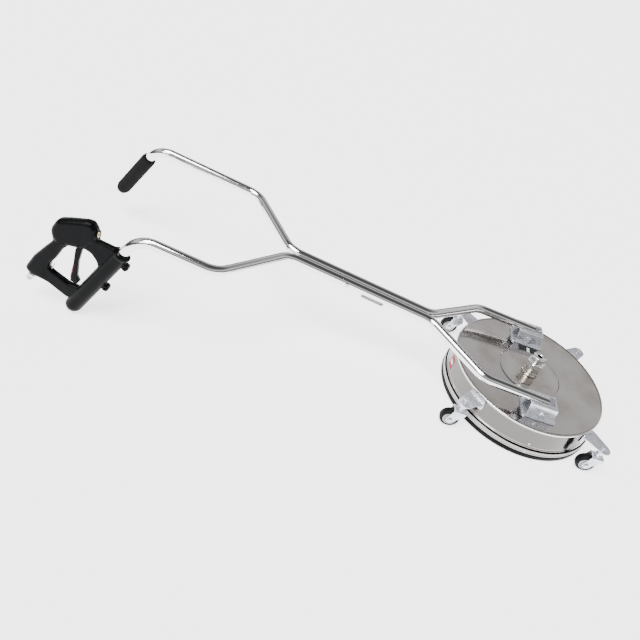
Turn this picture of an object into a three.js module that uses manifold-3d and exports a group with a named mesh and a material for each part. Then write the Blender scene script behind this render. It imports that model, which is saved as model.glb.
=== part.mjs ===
// Rotary surface cleaner: a round deck on four casters, with a spinning spray bar under it,
// and a long two-tube handle that ends in a grip and a trigger gun.
// Millimetres, +Z up, +Y forward, the handle runs back towards -Y, and +X is the user's right.
import * as THREE from "three";
import { mergeVertices } from "three/addons/utils/BufferGeometryUtils.js";
import Module from "manifold-3d";

const wasm = await Module();
wasm.setup();

// ---- driving dimensions ----
const gap = 0.3; // between two pieces that touch
const running = 0.4; // round a shaft or pin that turns

const deck = {
  radius: 215,
  top: 97,
  sheet: 2.5,
  bottom: 20,
  embossRadius: 86,
  embossRise: 1.2,
  rimRoll: 2,
  beadHeight: 34,
  bead: 2.5,
};
const skirt = { thickness: 4, lip: 2.2, lipHeight: 13, clampHeight: 27, floorGap: 3 };
const clampRing = { thickness: 1.3, low: 17, high: 30 };

const caster = {
  wheelRadius: 25.4,
  wheelWidth: 20,
  hubRadius: 17,
  trail: 17.5,
  sideGap: 1.2,
  forkSheet: 2,
  forkTop: 60,
  forkHalfWidth: 17,
  axleRadius: 4,
  stemRadius: 6,
  plateTop: 87,
  plateThickness: 3,
  plateRadius: 18,
  sweepGap: 1.5,
};
const casterFlange = { halfWidth: 25, low: 60, high: 92, corner: 8 };

const swivel = {
  bodyRadius: 21,
  footRadius: 23,
  bore: 16,
  neckRadius: 14,
  hexRadius: 28,
  hexHeight: 12,
  top: 138,
  inletRadius: 18,
  inletHeight: 21,
  inletBore: 7,
  portRadius: 2.2,
  portCircle: 12.5,
  shaftRadius: 7,
  nutRadius: 22,
  nutHeight: 8,
};
const bearing = { height: 7, lower: 101.5, upper: 111 };
const seal = { low: 118.5, high: 125.5 };
const sprayBar = { height: 54, reach: 182, tube: 6.5, drop: 14, bend: 12, hubHalf: 15, nozzleRadius: 7.5, nozzleLength: 13 };

const tube = { radius: 12.7, wall: 1.65 };
const bracket = {
  halfWidth: 25,
  sheet: 3,
  plateTop: 140,
  rear: -36,
  front: 37,
  footFront: 41,
  footRear: -29,
  baseHalf: 34,
  baseRear: -43,
  baseFront: 50,
  baseCorner: 10,
};
const pivot = { y: 5, z: 114, boltRadius: 4, lugRadius: 8, tubeEnd: 7 };

const handle = {
  pitch: 6.33, // degrees that the handle rises towards the user at rest
  forkPitch: 3.46, // degrees that the fork arms rise
  forkHalf: 144.5, // from the middle to a fork arm
  forkBend: 189.5, // distances back along the handle from its front datum
  forkSplit: 339,
  tubeGap: 1.1, // between the two tubes where they run side by side
  seam: 596,
  barSplit: 746,
  barBend: 883,
  barHalf: 194,
  gripLean: 7.1, // degrees that the grips splay outwards
  legAngle: 69.2, // degrees from the handle's line down to a grip's axis
  gunCorner: 1068.5,
  gripCorner: 1176,
  bendRadius: 60,
  legBend: 60,
  datumY: 22.5,
  datumZ: 124.4,
};
const spigot = { length: 50, boltBack: 14, boltRadius: 3 };
const hoseGuide = { middle: 501, halfLength: 32, halfWidth: 8, sheet: 2.5, drop: 16 };
const grip = { start: 46, end: 206, radius: 19 };

const gun = {
  half: 15,
  frameHalf: 9,
  bevel: 6,
  sleeveStart: 58,
  sleeveEnd: 270,
  sleeveRadius: 19.8,
  lugOut: 25,
  lugRadius: 8,
  lugs: [80, 157],
  pinRadius: 2.5,
  triggerHalf: 6,
  lockHalf: 2.4,
};

// ---- materials ----
const finish = (color, roughness, metalness) => new THREE.MeshStandardMaterial({ color, roughness, metalness });
const steel = finish(0xa9a6a3, 0.34, 1);
const chrome = finish(0xe2e2e2, 0.08, 1);
const zinc = finish(0xc3c8d0, 0.3, 1);
const nickel = finish(0xbdbab0, 0.22, 1);
const brass = finish(0xb5924c, 0.3, 1);
const rubber = finish(0x17181a, 0.8, 0);
const plastic = finish(0x1d1e20, 0.5, 0);
const foam = finish(0x121214, 0.95, 0);
const hubPlastic = finish(0xc9ccd1, 0.5, 0);
const accent = finish(0xa8202a, 0.5, 0);

// ---- solids ----
const part = new THREE.Group();
const turnedUp = new THREE.Matrix4().makeRotationX(Math.PI / 2);

function solid(geometry) {
  const bare = geometry.clone();
  bare.deleteAttribute("normal");
  bare.deleteAttribute("uv");
  const merged = mergeVertices(bare, 1e-4);
  return new wasm.Manifold(
    new wasm.Mesh({
      numProp: 3,
      vertProperties: merged.attributes.position.array,
      triVerts: new Uint32Array(merged.index.array),
    }),
  );
}

function geometryOf(shape) {
  const made = shape.getMesh();
  return new THREE.BufferGeometry()
    .setAttribute("position", new THREE.BufferAttribute(made.vertProperties, 3))
    .setIndex(new THREE.BufferAttribute(made.triVerts, 1));
}

function addMesh(name, shape, material, parent = part) {
  const mesh = new THREE.Mesh(geometryOf(shape), material);
  mesh.name = name;
  parent.add(mesh);
}

const join = (...shapes) => shapes.reduce((all, one) => all.add(one));
const cut = (shape, ...tools) => tools.reduce((left, tool) => left.subtract(tool), shape);

// A profile of [radius, height] points, turned about +Z. Its points run up the outside and down the inside.
function turned(profile, segments) {
  const points = profile.map(([r, z]) => new THREE.Vector2(r, z));
  const onAxis = points[0].x === 0 && points.at(-1).x === 0;
  if (!onAxis) points.push(points[0].clone());
  return solid(new THREE.LatheGeometry(points, segments).applyMatrix4(turnedUp));
}

function cylinder(radius, low, high, segments = 20, innerRadius = 0) {
  const outside = [[radius, low], [radius, high]];
  if (innerRadius > 0) return turned([...outside, [innerRadius, high], [innerRadius, low]], segments);
  return turned([[0, low], ...outside, [0, high]], segments);
}

// The radius of a many-sided bore that clears a round shaft.
const boreFor = (radius, sides, space = gap) => (radius + space) / Math.cos(Math.PI / sides);

// The same solid, with its +Z axis along a direction and its origin at a place.
function placed(shape, place, along) {
  const turn = new THREE.Quaternion().setFromUnitVectors(new THREE.Vector3(0, 0, 1), along.clone().normalize());
  return moved(shape, new THREE.Matrix4().compose(place, turn, new THREE.Vector3(1, 1, 1)));
}

const moved = (shape, matrix) => solid(geometryOf(shape).applyMatrix4(matrix));
const shifted = (shape, x, y, z) => moved(shape, new THREE.Matrix4().makeTranslation(x, y, z));
const point = (x, y, z) => new THREE.Vector3(x, y, z);
const radians = THREE.MathUtils.degToRad;
const xAxis = point(1, 0, 0);

function box(low, high) {
  const size = high.map((value, i) => value - low[i]);
  const middle = high.map((value, i) => (value + low[i]) / 2);
  return solid(new THREE.BoxGeometry(...size).translate(...middle));
}

function plate(outline, low, high, hole = null, bevel = 0) {
  const shape = new THREE.Shape(outline.map(([x, y]) => new THREE.Vector2(x, y)));
  if (hole) shape.holes.push(new THREE.Path(hole.map(([x, y]) => new THREE.Vector2(x, y))));
  const settings = { depth: high - low - bevel, bevelEnabled: bevel > 0, bevelSegments: 1, steps: 1 };
  Object.assign(settings, { bevelSize: bevel, bevelThickness: bevel, bevelOffset: -bevel });
  return solid(new THREE.ExtrudeGeometry(shape, settings).translate(0, 0, low));
}

const arc = (x, y, radius, from, to, steps) =>
  Array.from({ length: steps + 1 }, (_, i) => {
    const angle = radians(from + ((to - from) * i) / steps);
    return [x + radius * Math.cos(angle), y + radius * Math.sin(angle)];
  });

function roundedRectangle(left, right, low, high, radius) {
  return [
    ...arc(right - radius, high - radius, radius, 0, 90, 4),
    ...arc(left + radius, high - radius, radius, 90, 180, 4),
    ...arc(left + radius, low + radius, radius, 180, 270, 4),
    ...arc(right - radius, low + radius, radius, 270, 360, 4),
  ];
}

// ---- bent tubes ----
// A curve that knows only its stations: the ends and the steps round each bend.
class StationCurve extends THREE.Curve {
  constructor(stations) {
    super();
    this.stations = stations;
  }
  at(u) {
    return this.stations[Math.round(u * (this.stations.length - 1))];
  }
  getPointAt(u) {
    return this.at(u).place.clone();
  }
  getTangentAt(u) {
    return this.at(u).along.clone();
  }
  getPoint(u) {
    return this.getPointAt(u);
  }
}

// Corner points, rounded to a bend radius. bends holds a radius for each inner corner.
function bentStations(corners, bends, stepAngle = 20) {
  const stations = [];
  const direction = (i) => corners[i + 1].clone().sub(corners[i]).normalize();
  stations.push({ place: corners[0], along: direction(0) });
  for (let i = 1; i < corners.length - 1; i++) {
    const before = direction(i - 1);
    const after = direction(i);
    const angle = before.angleTo(after);
    const axis = before.clone().cross(after).normalize();
    const start = corners[i].clone().addScaledVector(before, -bends[i - 1] * Math.tan(angle / 2));
    const centre = start.clone().addScaledVector(axis.clone().cross(before), bends[i - 1]);
    const steps = Math.max(1, Math.ceil(angle / radians(stepAngle)));
    for (let k = 0; k <= steps; k++) {
      const turn = new THREE.Quaternion().setFromAxisAngle(axis, (angle * k) / steps);
      const place = start.clone().sub(centre).applyQuaternion(turn).add(centre);
      stations.push({ place, along: before.clone().applyQuaternion(turn) });
    }
  }
  stations.push({ place: corners.at(-1), along: direction(corners.length - 2) });
  return stations;
}

function bentRod(stations, radius, sides) {
  const ring = arc(0, 0, radius, 0, 360, sides).slice(0, sides);
  const shape = new THREE.Shape(ring.map(([x, y]) => new THREE.Vector2(x, y)));
  const path = new StationCurve(stations);
  return solid(new THREE.ExtrudeGeometry(shape, { steps: stations.length - 1, extrudePath: path }));
}

function bentTube(stations, radius, wall, sides = 12) {
  const bore = stations.map((station) => ({ ...station }));
  const first = bore[0];
  const last = bore.at(-1);
  first.place = first.place.clone().addScaledVector(first.along, -1);
  last.place = last.place.clone().addScaledVector(last.along, 1);
  return cut(bentRod(stations, radius, sides), bentRod(bore, radius - wall, sides));
}

// ---- deck ----
const sideRadius = deck.radius - deck.rimRoll;
const skirtInner = sideRadius + gap;
const skirtOuter = skirtInner + skirt.thickness + skirt.lip;
const embossTop = deck.top + deck.embossRise;
const roundSides = 36;

function deckShell() {
  const inner = sideRadius - deck.sheet;
  const underside = deck.top - deck.sheet;
  const roll = deck.rimRoll;
  return turned(
    [
      [inner, deck.bottom],
      [sideRadius, deck.bottom],
      [sideRadius, deck.beadHeight - deck.bead],
      [sideRadius + deck.bead, deck.beadHeight],
      [sideRadius, deck.beadHeight + deck.bead],
      [sideRadius, deck.top - 2 * roll],
      [deck.radius, deck.top - roll],
      [deck.radius - roll, deck.top + roll / 2],
      [sideRadius - 2 * roll, deck.top],
      [deck.embossRadius + deck.embossRise, deck.top],
      [deck.embossRadius, embossTop],
      [swivel.neckRadius + gap, embossTop],
      [swivel.neckRadius + gap, underside],
      [inner, underside],
    ],
    roundSides,
  );
}

function skirtBand() {
  const clamped = skirtInner + skirt.thickness;
  return turned(
    [
      [skirtInner + skirt.thickness / 2, skirt.floorGap],
      [skirtOuter, skirt.floorGap],
      [skirtOuter, skirt.lipHeight],
      [clamped, skirt.lipHeight + skirt.lip],
      [clamped, skirt.clampHeight],
      [skirtInner, skirt.clampHeight],
      [skirtInner, skirt.floorGap + skirt.thickness],
    ],
    roundSides,
  );
}

function bandClamp() {
  const inner = skirtInner + skirt.thickness + gap;
  return cylinder(inner + clampRing.thickness, clampRing.low, clampRing.high, roundSides, inner);
}

addMesh("deck_shell", deckShell(), steel);
addMesh("skirt", skirtBand(), rubber);
addMesh("skirt_clamp_ring", bandClamp(), steel);

// ---- casters ----
const wheelSweep = Math.hypot(caster.trail + caster.wheelRadius, caster.wheelWidth / 2 + caster.sideGap);
const stemReach = skirtOuter + wheelSweep + caster.sweepGap; // from the deck's axis to a caster's stem
const forkInner = caster.wheelWidth / 2 + caster.sideGap;
const forkOuter = forkInner + caster.forkSheet;

// The plate that carries a caster, with its flange on the deck's side. It points along +X.
function casterBracket() {
  const flat = sideRadius + gap;
  const flangeOut = flat + caster.plateThickness;
  const plateLow = caster.plateTop - caster.plateThickness;
  const top = plate(
    [
      [flat, -casterFlange.halfWidth],
      [flat + casterFlange.corner, -casterFlange.halfWidth],
      ...arc(stemReach, 0, caster.plateRadius, -75, 75, 10),
      [flat + casterFlange.corner, casterFlange.halfWidth],
      [flat, casterFlange.halfWidth],
    ],
    plateLow,
    caster.plateTop,
  );
  const outline = roundedRectangle(
    -casterFlange.high,
    -casterFlange.low,
    -casterFlange.halfWidth,
    casterFlange.halfWidth,
    casterFlange.corner,
  );
  const flange = moved(plate(outline, flat, flangeOut), new THREE.Matrix4().makeRotationY(Math.PI / 2));
  const hole = shifted(cylinder(boreFor(caster.stemRadius, 12), plateLow - 1, caster.plateTop + 1, 12), stemReach, 0, 0);
  return cut(join(top, flange), hole);
}

// The fixed stem: a hex nut over the plate, and a collar that the fork turns on.
function casterStem() {
  const plateLow = caster.plateTop - caster.plateThickness;
  const r = caster.stemRadius;
  return turned(
    [
      [0, caster.forkTop - caster.forkSheet - 5],
      [r + 3, caster.forkTop - caster.forkSheet - 5],
      [r + 3, caster.forkTop - caster.forkSheet - running],
      [r, caster.forkTop - caster.forkSheet - running],
      [r, caster.forkTop + running],
      [r + 4, caster.forkTop + running],
      [r + 6, caster.forkTop + 5],
      [r + 2, caster.forkTop + 9],
      [r + 2, plateLow - gap],
      [r, plateLow - gap],
      [r, caster.plateTop + gap],
      [r + 4, caster.plateTop + gap],
      [r + 4, caster.plateTop + 6],
      [r - 1, caster.plateTop + 7.5],
      [0, caster.plateTop + 7.5],
    ],
    10,
  );
}

// The fork straddles the wheel, which trails towards -Y. Its turning axis is +Z through the origin.
function casterFork() {
  const back = -caster.trail;
  const low = caster.forkTop - caster.forkSheet;
  const end = 9;
  const half = caster.forkHalfWidth;
  const side = [
    [half - 3, caster.forkTop],
    [-half, caster.forkTop],
    [back - end, caster.wheelRadius + 3],
    ...arc(back, caster.wheelRadius, end, 180, 320, 6),
    [half - 3, low - 6],
  ];
  const upright = new THREE.Matrix4().makeBasis(point(0, 1, 0), point(0, 0, 1), point(1, 0, 0));
  const legs = [forkInner, -forkOuter].map((from) => moved(plate(side, from, from + caster.forkSheet), upright));
  const top = box([-forkOuter, -half, low], [forkOuter, half - 3, caster.forkTop]);
  const axle = placed(cylinder(boreFor(caster.axleRadius, 12), -40, 40, 12), point(0, back, caster.wheelRadius), xAxis);
  const stemBore = cylinder(boreFor(caster.stemRadius, 12, running), low - 1, caster.forkTop + 1, 12);
  return cut(join(...legs, top), stemBore, axle);
}

function wheelHub() {
  const half = caster.wheelWidth / 2;
  const bore = boreFor(caster.axleRadius, 12, running);
  return turned(
    [
      [bore, -half],
      [bore + 4, -half],
      [bore + 4, 3 - half],
      [caster.hubRadius - 3, 3 - half],
      [caster.hubRadius, -half],
      [caster.hubRadius, half],
      [caster.hubRadius - 3, half - 3],
      [bore + 4, half - 3],
      [bore + 4, half],
      [bore, half],
    ],
    12,
  );
}

function wheelTyre() {
  const half = caster.wheelWidth / 2;
  const inner = boreFor(caster.hubRadius, 20);
  const outer = caster.wheelRadius;
  return turned(
    [
      [inner, -half],
      [outer - 3, -half],
      [outer, 5 - half],
      [outer, half - 5],
      [outer - 3, half],
      [inner, half],
    ],
    20,
  );
}

function wheelAxle() {
  const r = caster.axleRadius;
  const out = forkOuter + gap;
  return turned(
    [
      [0, -out - 4],
      [r + 2.5, -out - 4],
      [r + 2.5, -out],
      [r, -out],
      [r, out],
      [r + 2.5, out],
      [r + 2.5, out + 4],
      [0, out + 4],
    ],
    10,
  );
}

const corners = { front_right: 45, front_left: 135, rear_left: 225, rear_right: 315 };
for (const [name, angle] of Object.entries(corners)) {
  const mount = new THREE.Group();
  mount.rotation.z = radians(angle);
  part.add(mount);
  addMesh("caster_bracket_" + name, casterBracket(), zinc, mount);

  const unit = new THREE.Group();
  unit.position.set(stemReach * Math.cos(radians(angle)), stemReach * Math.sin(radians(angle)), 0);
  part.add(unit);
  addMesh("caster_stem_" + name, casterStem(), zinc, unit);
  addMesh("caster_fork_" + name, casterFork(), zinc, unit);

  const wheel = new THREE.Group();
  wheel.position.set(0, -caster.trail, caster.wheelRadius);
  wheel.rotation.y = Math.PI / 2;
  unit.add(wheel);
  addMesh("caster_hub_" + name, wheelHub(), hubPlastic, wheel);
  addMesh("caster_tyre_" + name, wheelTyre(), rubber, wheel);
  addMesh("caster_axle_" + name, wheelAxle(), zinc, wheel);
}

// ---- swivel ----
const seat = embossTop + gap; // the swivel's flange rests here
const underDeck = deck.top - deck.sheet;
const nutLow = underDeck - gap - swivel.nutHeight;
const hexLow = swivel.top - swivel.hexHeight;

function swivelHousing() {
  const mouth = swivel.shaftRadius + 2;
  return turned(
    [
      [mouth, nutLow - 2],
      [swivel.neckRadius, nutLow - 2],
      [swivel.neckRadius, seat],
      [swivel.footRadius, seat],
      [swivel.footRadius, seat + 3],
      [swivel.bodyRadius, seat + 5],
      [swivel.bodyRadius, hexLow],
      [swivel.bore, hexLow],
      [swivel.bore, bearing.lower - gap],
      [mouth, bearing.lower - gap],
    ],
    18,
  );
}

const bearingRace = (low) => 
  cylinder(swivel.bore - gap, low, low + bearing.height, 18, boreFor(swivel.shaftRadius, 18, running));

function swivelShaft() {
  const r = swivel.shaftRadius;
  const passage = r - 3;
  const foot = sprayBar.height - sprayBar.hubHalf - 3;
  const top = seal.high + gap;
  return turned([[r, foot], [r, top], [passage, top], [passage, foot]], 16);
}

// A wide hexagon nut that closes the housing, with the hose inlet standing on it.
function swivelInlet() {
  const low = hexLow + gap;
  const hexagon = cylinder(swivel.hexRadius, low, swivel.top, 6);
  const top = swivel.top + swivel.inletHeight;
  const neck = cylinder(swivel.inletRadius, swivel.top - 2, top, 20);
  const ports = [90, 210, 330].map((angle) => {
    const [x, y] = arc(0, 0, swivel.portCircle, angle, angle, 1)[0];
    return shifted(cylinder(swivel.portRadius, top - 8, top + 1, 8), x, y, 0);
  });
  return cut(join(hexagon, neck), cylinder(swivel.inletBore, low - 1, top + 1, 16), ...ports);
}

addMesh("swivel_housing", swivelHousing(), nickel);
addMesh("swivel_inlet", swivelInlet(), nickel);
addMesh("swivel_bearing_lower", bearingRace(bearing.lower), steel);
addMesh("swivel_bearing_upper", bearingRace(bearing.upper), steel);
const sealRing = cylinder(swivel.bore - gap, seal.low, seal.high, 18, boreFor(swivel.shaftRadius, 18, running));
addMesh("swivel_seal", sealRing, rubber);
const nutBore = cylinder(swivel.neckRadius + gap, nutLow - 1, underDeck, 24);
addMesh("swivel_nut", cut(cylinder(swivel.nutRadius, nutLow, underDeck - gap, 6), nutBore), brass);
addMesh("swivel_shaft", swivelShaft(), steel);

// ---- spray bar ----
function sprayHub() {
  const half = sprayBar.hubHalf;
  const low = sprayBar.height - half;
  const block = box([-half, -half, low], [half, half, sprayBar.height + half]);
  const bore = cylinder(boreFor(swivel.shaftRadius, 16), low - 5, sprayBar.height + half + 1, 16);
  return cut(block, bore);
}

function sprayArm() {
  const start = point(sprayBar.hubHalf + gap, 0, sprayBar.height);
  const corner = point(sprayBar.reach, 0, sprayBar.height);
  const end = point(sprayBar.reach, 0, sprayBar.height - sprayBar.drop);
  return bentTube(bentStations([start, corner, end], [sprayBar.bend], 30), sprayBar.tube, 1.8, 12);
}

function sprayNozzle() {
  const top = sprayBar.height - sprayBar.drop - gap;
  const low = top - sprayBar.nozzleLength;
  const outside = [[sprayBar.nozzleRadius - 2, low], [sprayBar.nozzleRadius, low + 3], [sprayBar.nozzleRadius, top]];
  return shifted(turned([[1, low], ...outside, [1, top]], 12), sprayBar.reach, 0, 0);
}

addMesh("spray_hub", sprayHub(), steel);
for (const [name, angle] of Object.entries({ one: 0, two: 180 })) {
  const arm = new THREE.Group();
  arm.rotation.z = radians(angle);
  part.add(arm);
  addMesh("spray_arm_" + name, sprayArm(), steel, arm);
  addMesh("spray_nozzle_" + name, sprayNozzle(), brass, arm);
}

// ---- handle ----
const pitch = radians(handle.pitch);
const forkPitch = radians(handle.forkPitch);
const tubeHalf = tube.radius + handle.tubeGap / 2; // from the middle to each of the two tubes

// A place on the handle: across to the right, back along it, and up from its plane.
const onHandle = (across, back, up = 0) =>
  point(
    across,
    handle.datumY - back * Math.cos(pitch) + up * Math.sin(pitch),
    handle.datumZ + back * Math.sin(pitch) + up * Math.cos(pitch),
  );

const armBend = (side) => onHandle(side * handle.forkHalf, handle.forkBend);
// A place on a fork arm, a distance forward of its bend.
const onArm = (side, forward) =>
  armBend(side).add(point(0, forward * Math.cos(forkPitch), -forward * Math.sin(forkPitch)));
const armReach = (pivot.y + pivot.tubeEnd - armBend(1).y) / Math.cos(forkPitch);

const backAlong = point(0, -Math.cos(pitch), Math.sin(pitch));
const upFrom = point(0, Math.sin(pitch), Math.cos(pitch));

// The frame at a handlebar corner: x back along the handle, y down the leaning side, z to the right.
function cornerFrame(side, back) {
  const lean = radians(handle.gripLean);
  const down = upFrom.clone().multiplyScalar(-Math.cos(lean)).add(point(side * Math.sin(lean), 0, 0));
  const across = backAlong.clone().cross(down);
  return new THREE.Matrix4()
    .makeBasis(backAlong, down, across)
    .setPosition(onHandle(side * handle.barHalf, back));
}

const legAngle = radians(handle.legAngle);
const legAlong = point(Math.cos(legAngle), Math.sin(legAngle), 0); // in a corner's frame
const legPlace = (distance) => legAlong.clone().multiplyScalar(distance);

function lowerTube(side) {
  const stations = bentStations(
    [onArm(side, armReach), armBend(side), onHandle(side * tubeHalf, handle.forkSplit), onHandle(side * tubeHalf, handle.seam)],
    [handle.bendRadius, handle.bendRadius],
  );
  return cut(bentTube(stations, tube.radius, tube.wall), joinBoltHole());
}

function upperTube(side, back, legEnd) {
  const corner = cornerFrame(side, back);
  const split = side * tubeHalf;
  const start = onHandle(split, handle.seam + gap);
  const stations = bentStations(
    [
      start,
      onHandle(split, handle.barSplit),
      onHandle(side * handle.barHalf, handle.barBend),
      onHandle(side * handle.barHalf, back),
      legPlace(legEnd).applyMatrix4(corner),
    ],
    [handle.bendRadius, handle.bendRadius, handle.legBend],
  );
  const insert = (tube.radius - tube.wall) * Math.cos(Math.PI / 12) - gap;
  const neck = cylinder(insert, -spigot.length, 2, 12, insert - tube.wall);
  const shoulder = cylinder(tube.radius - 0.5, 0, 2, 12, insert - tube.wall);
  const plug = placed(join(neck, shoulder), start, backAlong);
  return cut(join(bentTube(stations, tube.radius, tube.wall), plug), joinBoltHole());
}

const boltPlace = onHandle(0, handle.seam - spigot.boltBack);
const joinBoltHole = () => placed(cylinder(boreFor(spigot.boltRadius, 12), -40, 40, 12), boltPlace, xAxis);

// Under the fork arm: a cross bush for the pivot bolt, with a saddle up to the tube.
function pivotLug(side) {
  const inner = bracket.halfWidth - bracket.sheet - 1;
  const place = point(side * handle.forkHalf, pivot.y, pivot.z);
  const bush = placed(cylinder(pivot.lugRadius, -inner, inner, 16), place, xAxis);
  const saddle = box([-9, -pivot.lugRadius + 1, 0], [9, pivot.lugRadius - 1, 18]).translate([place.x, place.y, place.z]);
  const armStations = bentStations([onArm(side, armReach + 20), onArm(side, armReach - 60)], []);
  const arm = bentRod(armStations, boreFor(tube.radius, 14), 14);
  const hole = placed(cylinder(boreFor(pivot.boltRadius, 12, running), -40, 40, 12), place, xAxis);
  return cut(join(bush, saddle), arm, hole);
}

// On the deck: a base plate, and a channel turned over whose slot lets the fork arm swing up.
function handleBracket(side) {
  const { halfWidth, sheet, plateTop } = bracket;
  const baseLow = deck.top + gap;
  const baseTop = baseLow + sheet;
  const slotHalf = tube.radius + 2 * running;
  const reachUp = onArm(side, armReach).z + tube.radius - pivot.z;
  const rise = plateTop - sheet - pivot.z;
  const slotFront = pivot.y + Math.sqrt(Math.hypot(pivot.tubeEnd + 1, reachUp) ** 2 - rise ** 2) + 1;
  const base = plate(
    roundedRectangle(-bracket.baseHalf, bracket.baseHalf, bracket.baseRear, bracket.baseFront, bracket.baseCorner),
    baseLow,
    baseTop,
  );
  const front = Math.max(bracket.front, slotFront + sheet);
  const top = box([-halfWidth, bracket.rear, plateTop - sheet], [halfWidth, front, plateTop]);
  const side2d = [
    [bracket.rear, plateTop],
    [bracket.footRear, baseTop - 0.5],
    [bracket.footFront, baseTop - 0.5],
    [front + 2, plateTop - 16],
    [front, plateTop],
  ];
  const upright = new THREE.Matrix4().makeBasis(point(0, 1, 0), point(0, 0, 1), point(1, 0, 0));
  const cheeks = [-halfWidth, halfWidth - sheet].map((from) => moved(plate(side2d, from, from + sheet), upright));
  const slot = box([-slotHalf, bracket.rear - 1, plateTop - 2 * sheet], [slotHalf, slotFront, plateTop + 1]);
  const hole = placed(cylinder(boreFor(pivot.boltRadius, 12), -60, 60, 12), point(0, pivot.y, pivot.z), xAxis);
  return shifted(cut(join(base, top, ...cheeks), slot, hole), side * handle.forkHalf, 0, 0);
}

function headedBolt(radius, headRadius, headHeight, length) {
  const half = length / 2;
  return turned(
    [
      [0, -half - headHeight],
      [headRadius, -half - headHeight],
      [headRadius, -half],
      [radius, -half],
      [radius, half],
      [headRadius, half],
      [headRadius - 1, half + headHeight],
      [0, half + headHeight],
    ],
    12,
  );
}

for (const [name, side] of Object.entries({ right: 1, left: -1 })) {
  addMesh("handle_bracket_" + name, handleBracket(side), zinc);
  const pin = headedBolt(pivot.boltRadius, 6.5, 4, 2 * (bracket.halfWidth + gap));
  addMesh("pivot_bolt_" + name, placed(pin, point(side * handle.forkHalf, pivot.y, pivot.z), xAxis.clone().multiplyScalar(side)), zinc);
  addMesh("pivot_lug_" + name, pivotLug(side), chrome);
  addMesh("lower_tube_" + name, lowerTube(side), chrome);
}
addMesh("upper_tube_right", upperTube(1, handle.gunCorner, gun.sleeveEnd - 20), chrome);
addMesh("upper_tube_left", upperTube(-1, handle.gripCorner, grip.end - 8), chrome);
const joinPin = headedBolt(spigot.boltRadius, 5.5, 3.5, 4 * tube.radius + handle.tubeGap + 2 * gap);
addMesh("join_bolt", placed(joinPin, boltPlace, xAxis), zinc);

function hoseGuideStrap() {
  const { halfLength, halfWidth, sheet, drop } = hoseGuide;
  const low = -tube.radius - drop;
  const floor = box([-halfLength, -halfWidth, low], [halfLength, halfWidth, low + sheet]);
  const legTop = -Math.sqrt(tube.radius ** 2 - (tubeHalf - halfWidth) ** 2) - gap;
  const legs = [-halfLength, halfLength - sheet].map((x) => box([x, -halfWidth, low], [x + sheet, halfWidth, legTop]));
  const frame = new THREE.Matrix4()
    .makeBasis(backAlong, point(1, 0, 0), upFrom)
    .setPosition(onHandle(0, hoseGuide.middle));
  const tubes = [-1, 1].map((side) =>
    bentRod(
      bentStations([onHandle(side * tubeHalf, hoseGuide.middle - 60), onHandle(side * tubeHalf, hoseGuide.middle + 60)], []),
      boreFor(tube.radius, 14),
      14,
    ),
  );
  return cut(moved(join(floor, ...legs), frame), ...tubes);
}
addMesh("hose_guide", hoseGuideStrap(), steel);

// ---- left grip ----
function cornerGroup(side, back) {
  const group = new THREE.Group();
  group.applyMatrix4(cornerFrame(side, back));
  part.add(group);
  return group;
}

const gripGroup = cornerGroup(-1, handle.gripCorner);
function leftGrip() {
  const bore = boreFor(tube.radius, 20);
  const { start, end, radius } = grip;
  const sleeve = turned(
    [
      [0, end - 6],
      [bore, end - 6],
      [bore, start],
      [radius - 1, start],
      [radius, start + 3],
      [radius, end - 8],
      [radius - 4, end - 2],
      [0, end],
    ],
    20,
  );
  return placed(sleeve, point(0, 0, 0), legAlong);
}
addMesh("left_grip", leftGrip(), foam, gripGroup);

// ---- trigger gun ----
// In the gun's frame: x back along the handle, y down, z to the right. The leg of the handlebar runs through its sleeve.
const barrelFrom = point(158, 57, 0);
const barrelTo = point(96, 38.5, 0);
const barrelAlong = barrelTo.clone().sub(barrelFrom).normalize();
const inletFrom = point(160, 86, 0);
const inletTo = point(196, 197, 0);
const inletAlong = inletTo.clone().sub(inletFrom).normalize();
const triggerPivot = [112, 72];
const lockPivot = [158, 181];

const gunOutline = [
  [30, 48],
  [82, 45],
  [87, 26],
  ...arc(101, 16, 9, 190, 290, 4),
  [140, 21],
  ...arc(166, 51, 15, 300, 370, 4),
  [181, 75],
  [171, 92],
  [186, 118],
  [203, 150],
  ...arc(202, 186, 13, 320, 445, 5),
  [158, 204],
  [112, 221],
  [84, 224],
];
const gunWindow = [
  [100, 80],
  [86, 83],
  [72, 92],
  [63, 108],
  [90, 184],
  [112, 185],
  [154, 171],
  [164, 165],
  [163, 151],
  [155, 133],
  [146, 104],
  [135, 88],
];
const barrelOutline = [
  [80, 52],
  [87, 26],
  ...arc(101, 16, 9, 190, 290, 4),
  [140, 21],
  ...arc(166, 51, 15, 300, 370, 4),
  [181, 75],
  [171, 92],
  [135, 88],
  [100, 80],
];
const pistolOutline = [
  [135, 80],
  [160, 74],
  [171, 92],
  [186, 118],
  [203, 150],
  ...arc(202, 186, 13, 320, 445, 5),
  [163, 201],
  [164, 165],
  [163, 151],
  [155, 133],
  [146, 104],
];
const triggerOutline = [
  ...arc(...triggerPivot, 6, 180, 360, 6),
  [120, 95],
  [116, 127],
  [115, 160],
  [111, 175],
  [95, 177],
  [92, 169],
  [100, 158],
  [106, 122],
];
const lockOutline = [
  ...arc(...lockPivot, 3.5, 20, 180, 5),
  ...arc(154, 152, 2.2, 180, 360, 4),
];

const along = (shape, place, direction) => placed(shape, place, direction);

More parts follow.
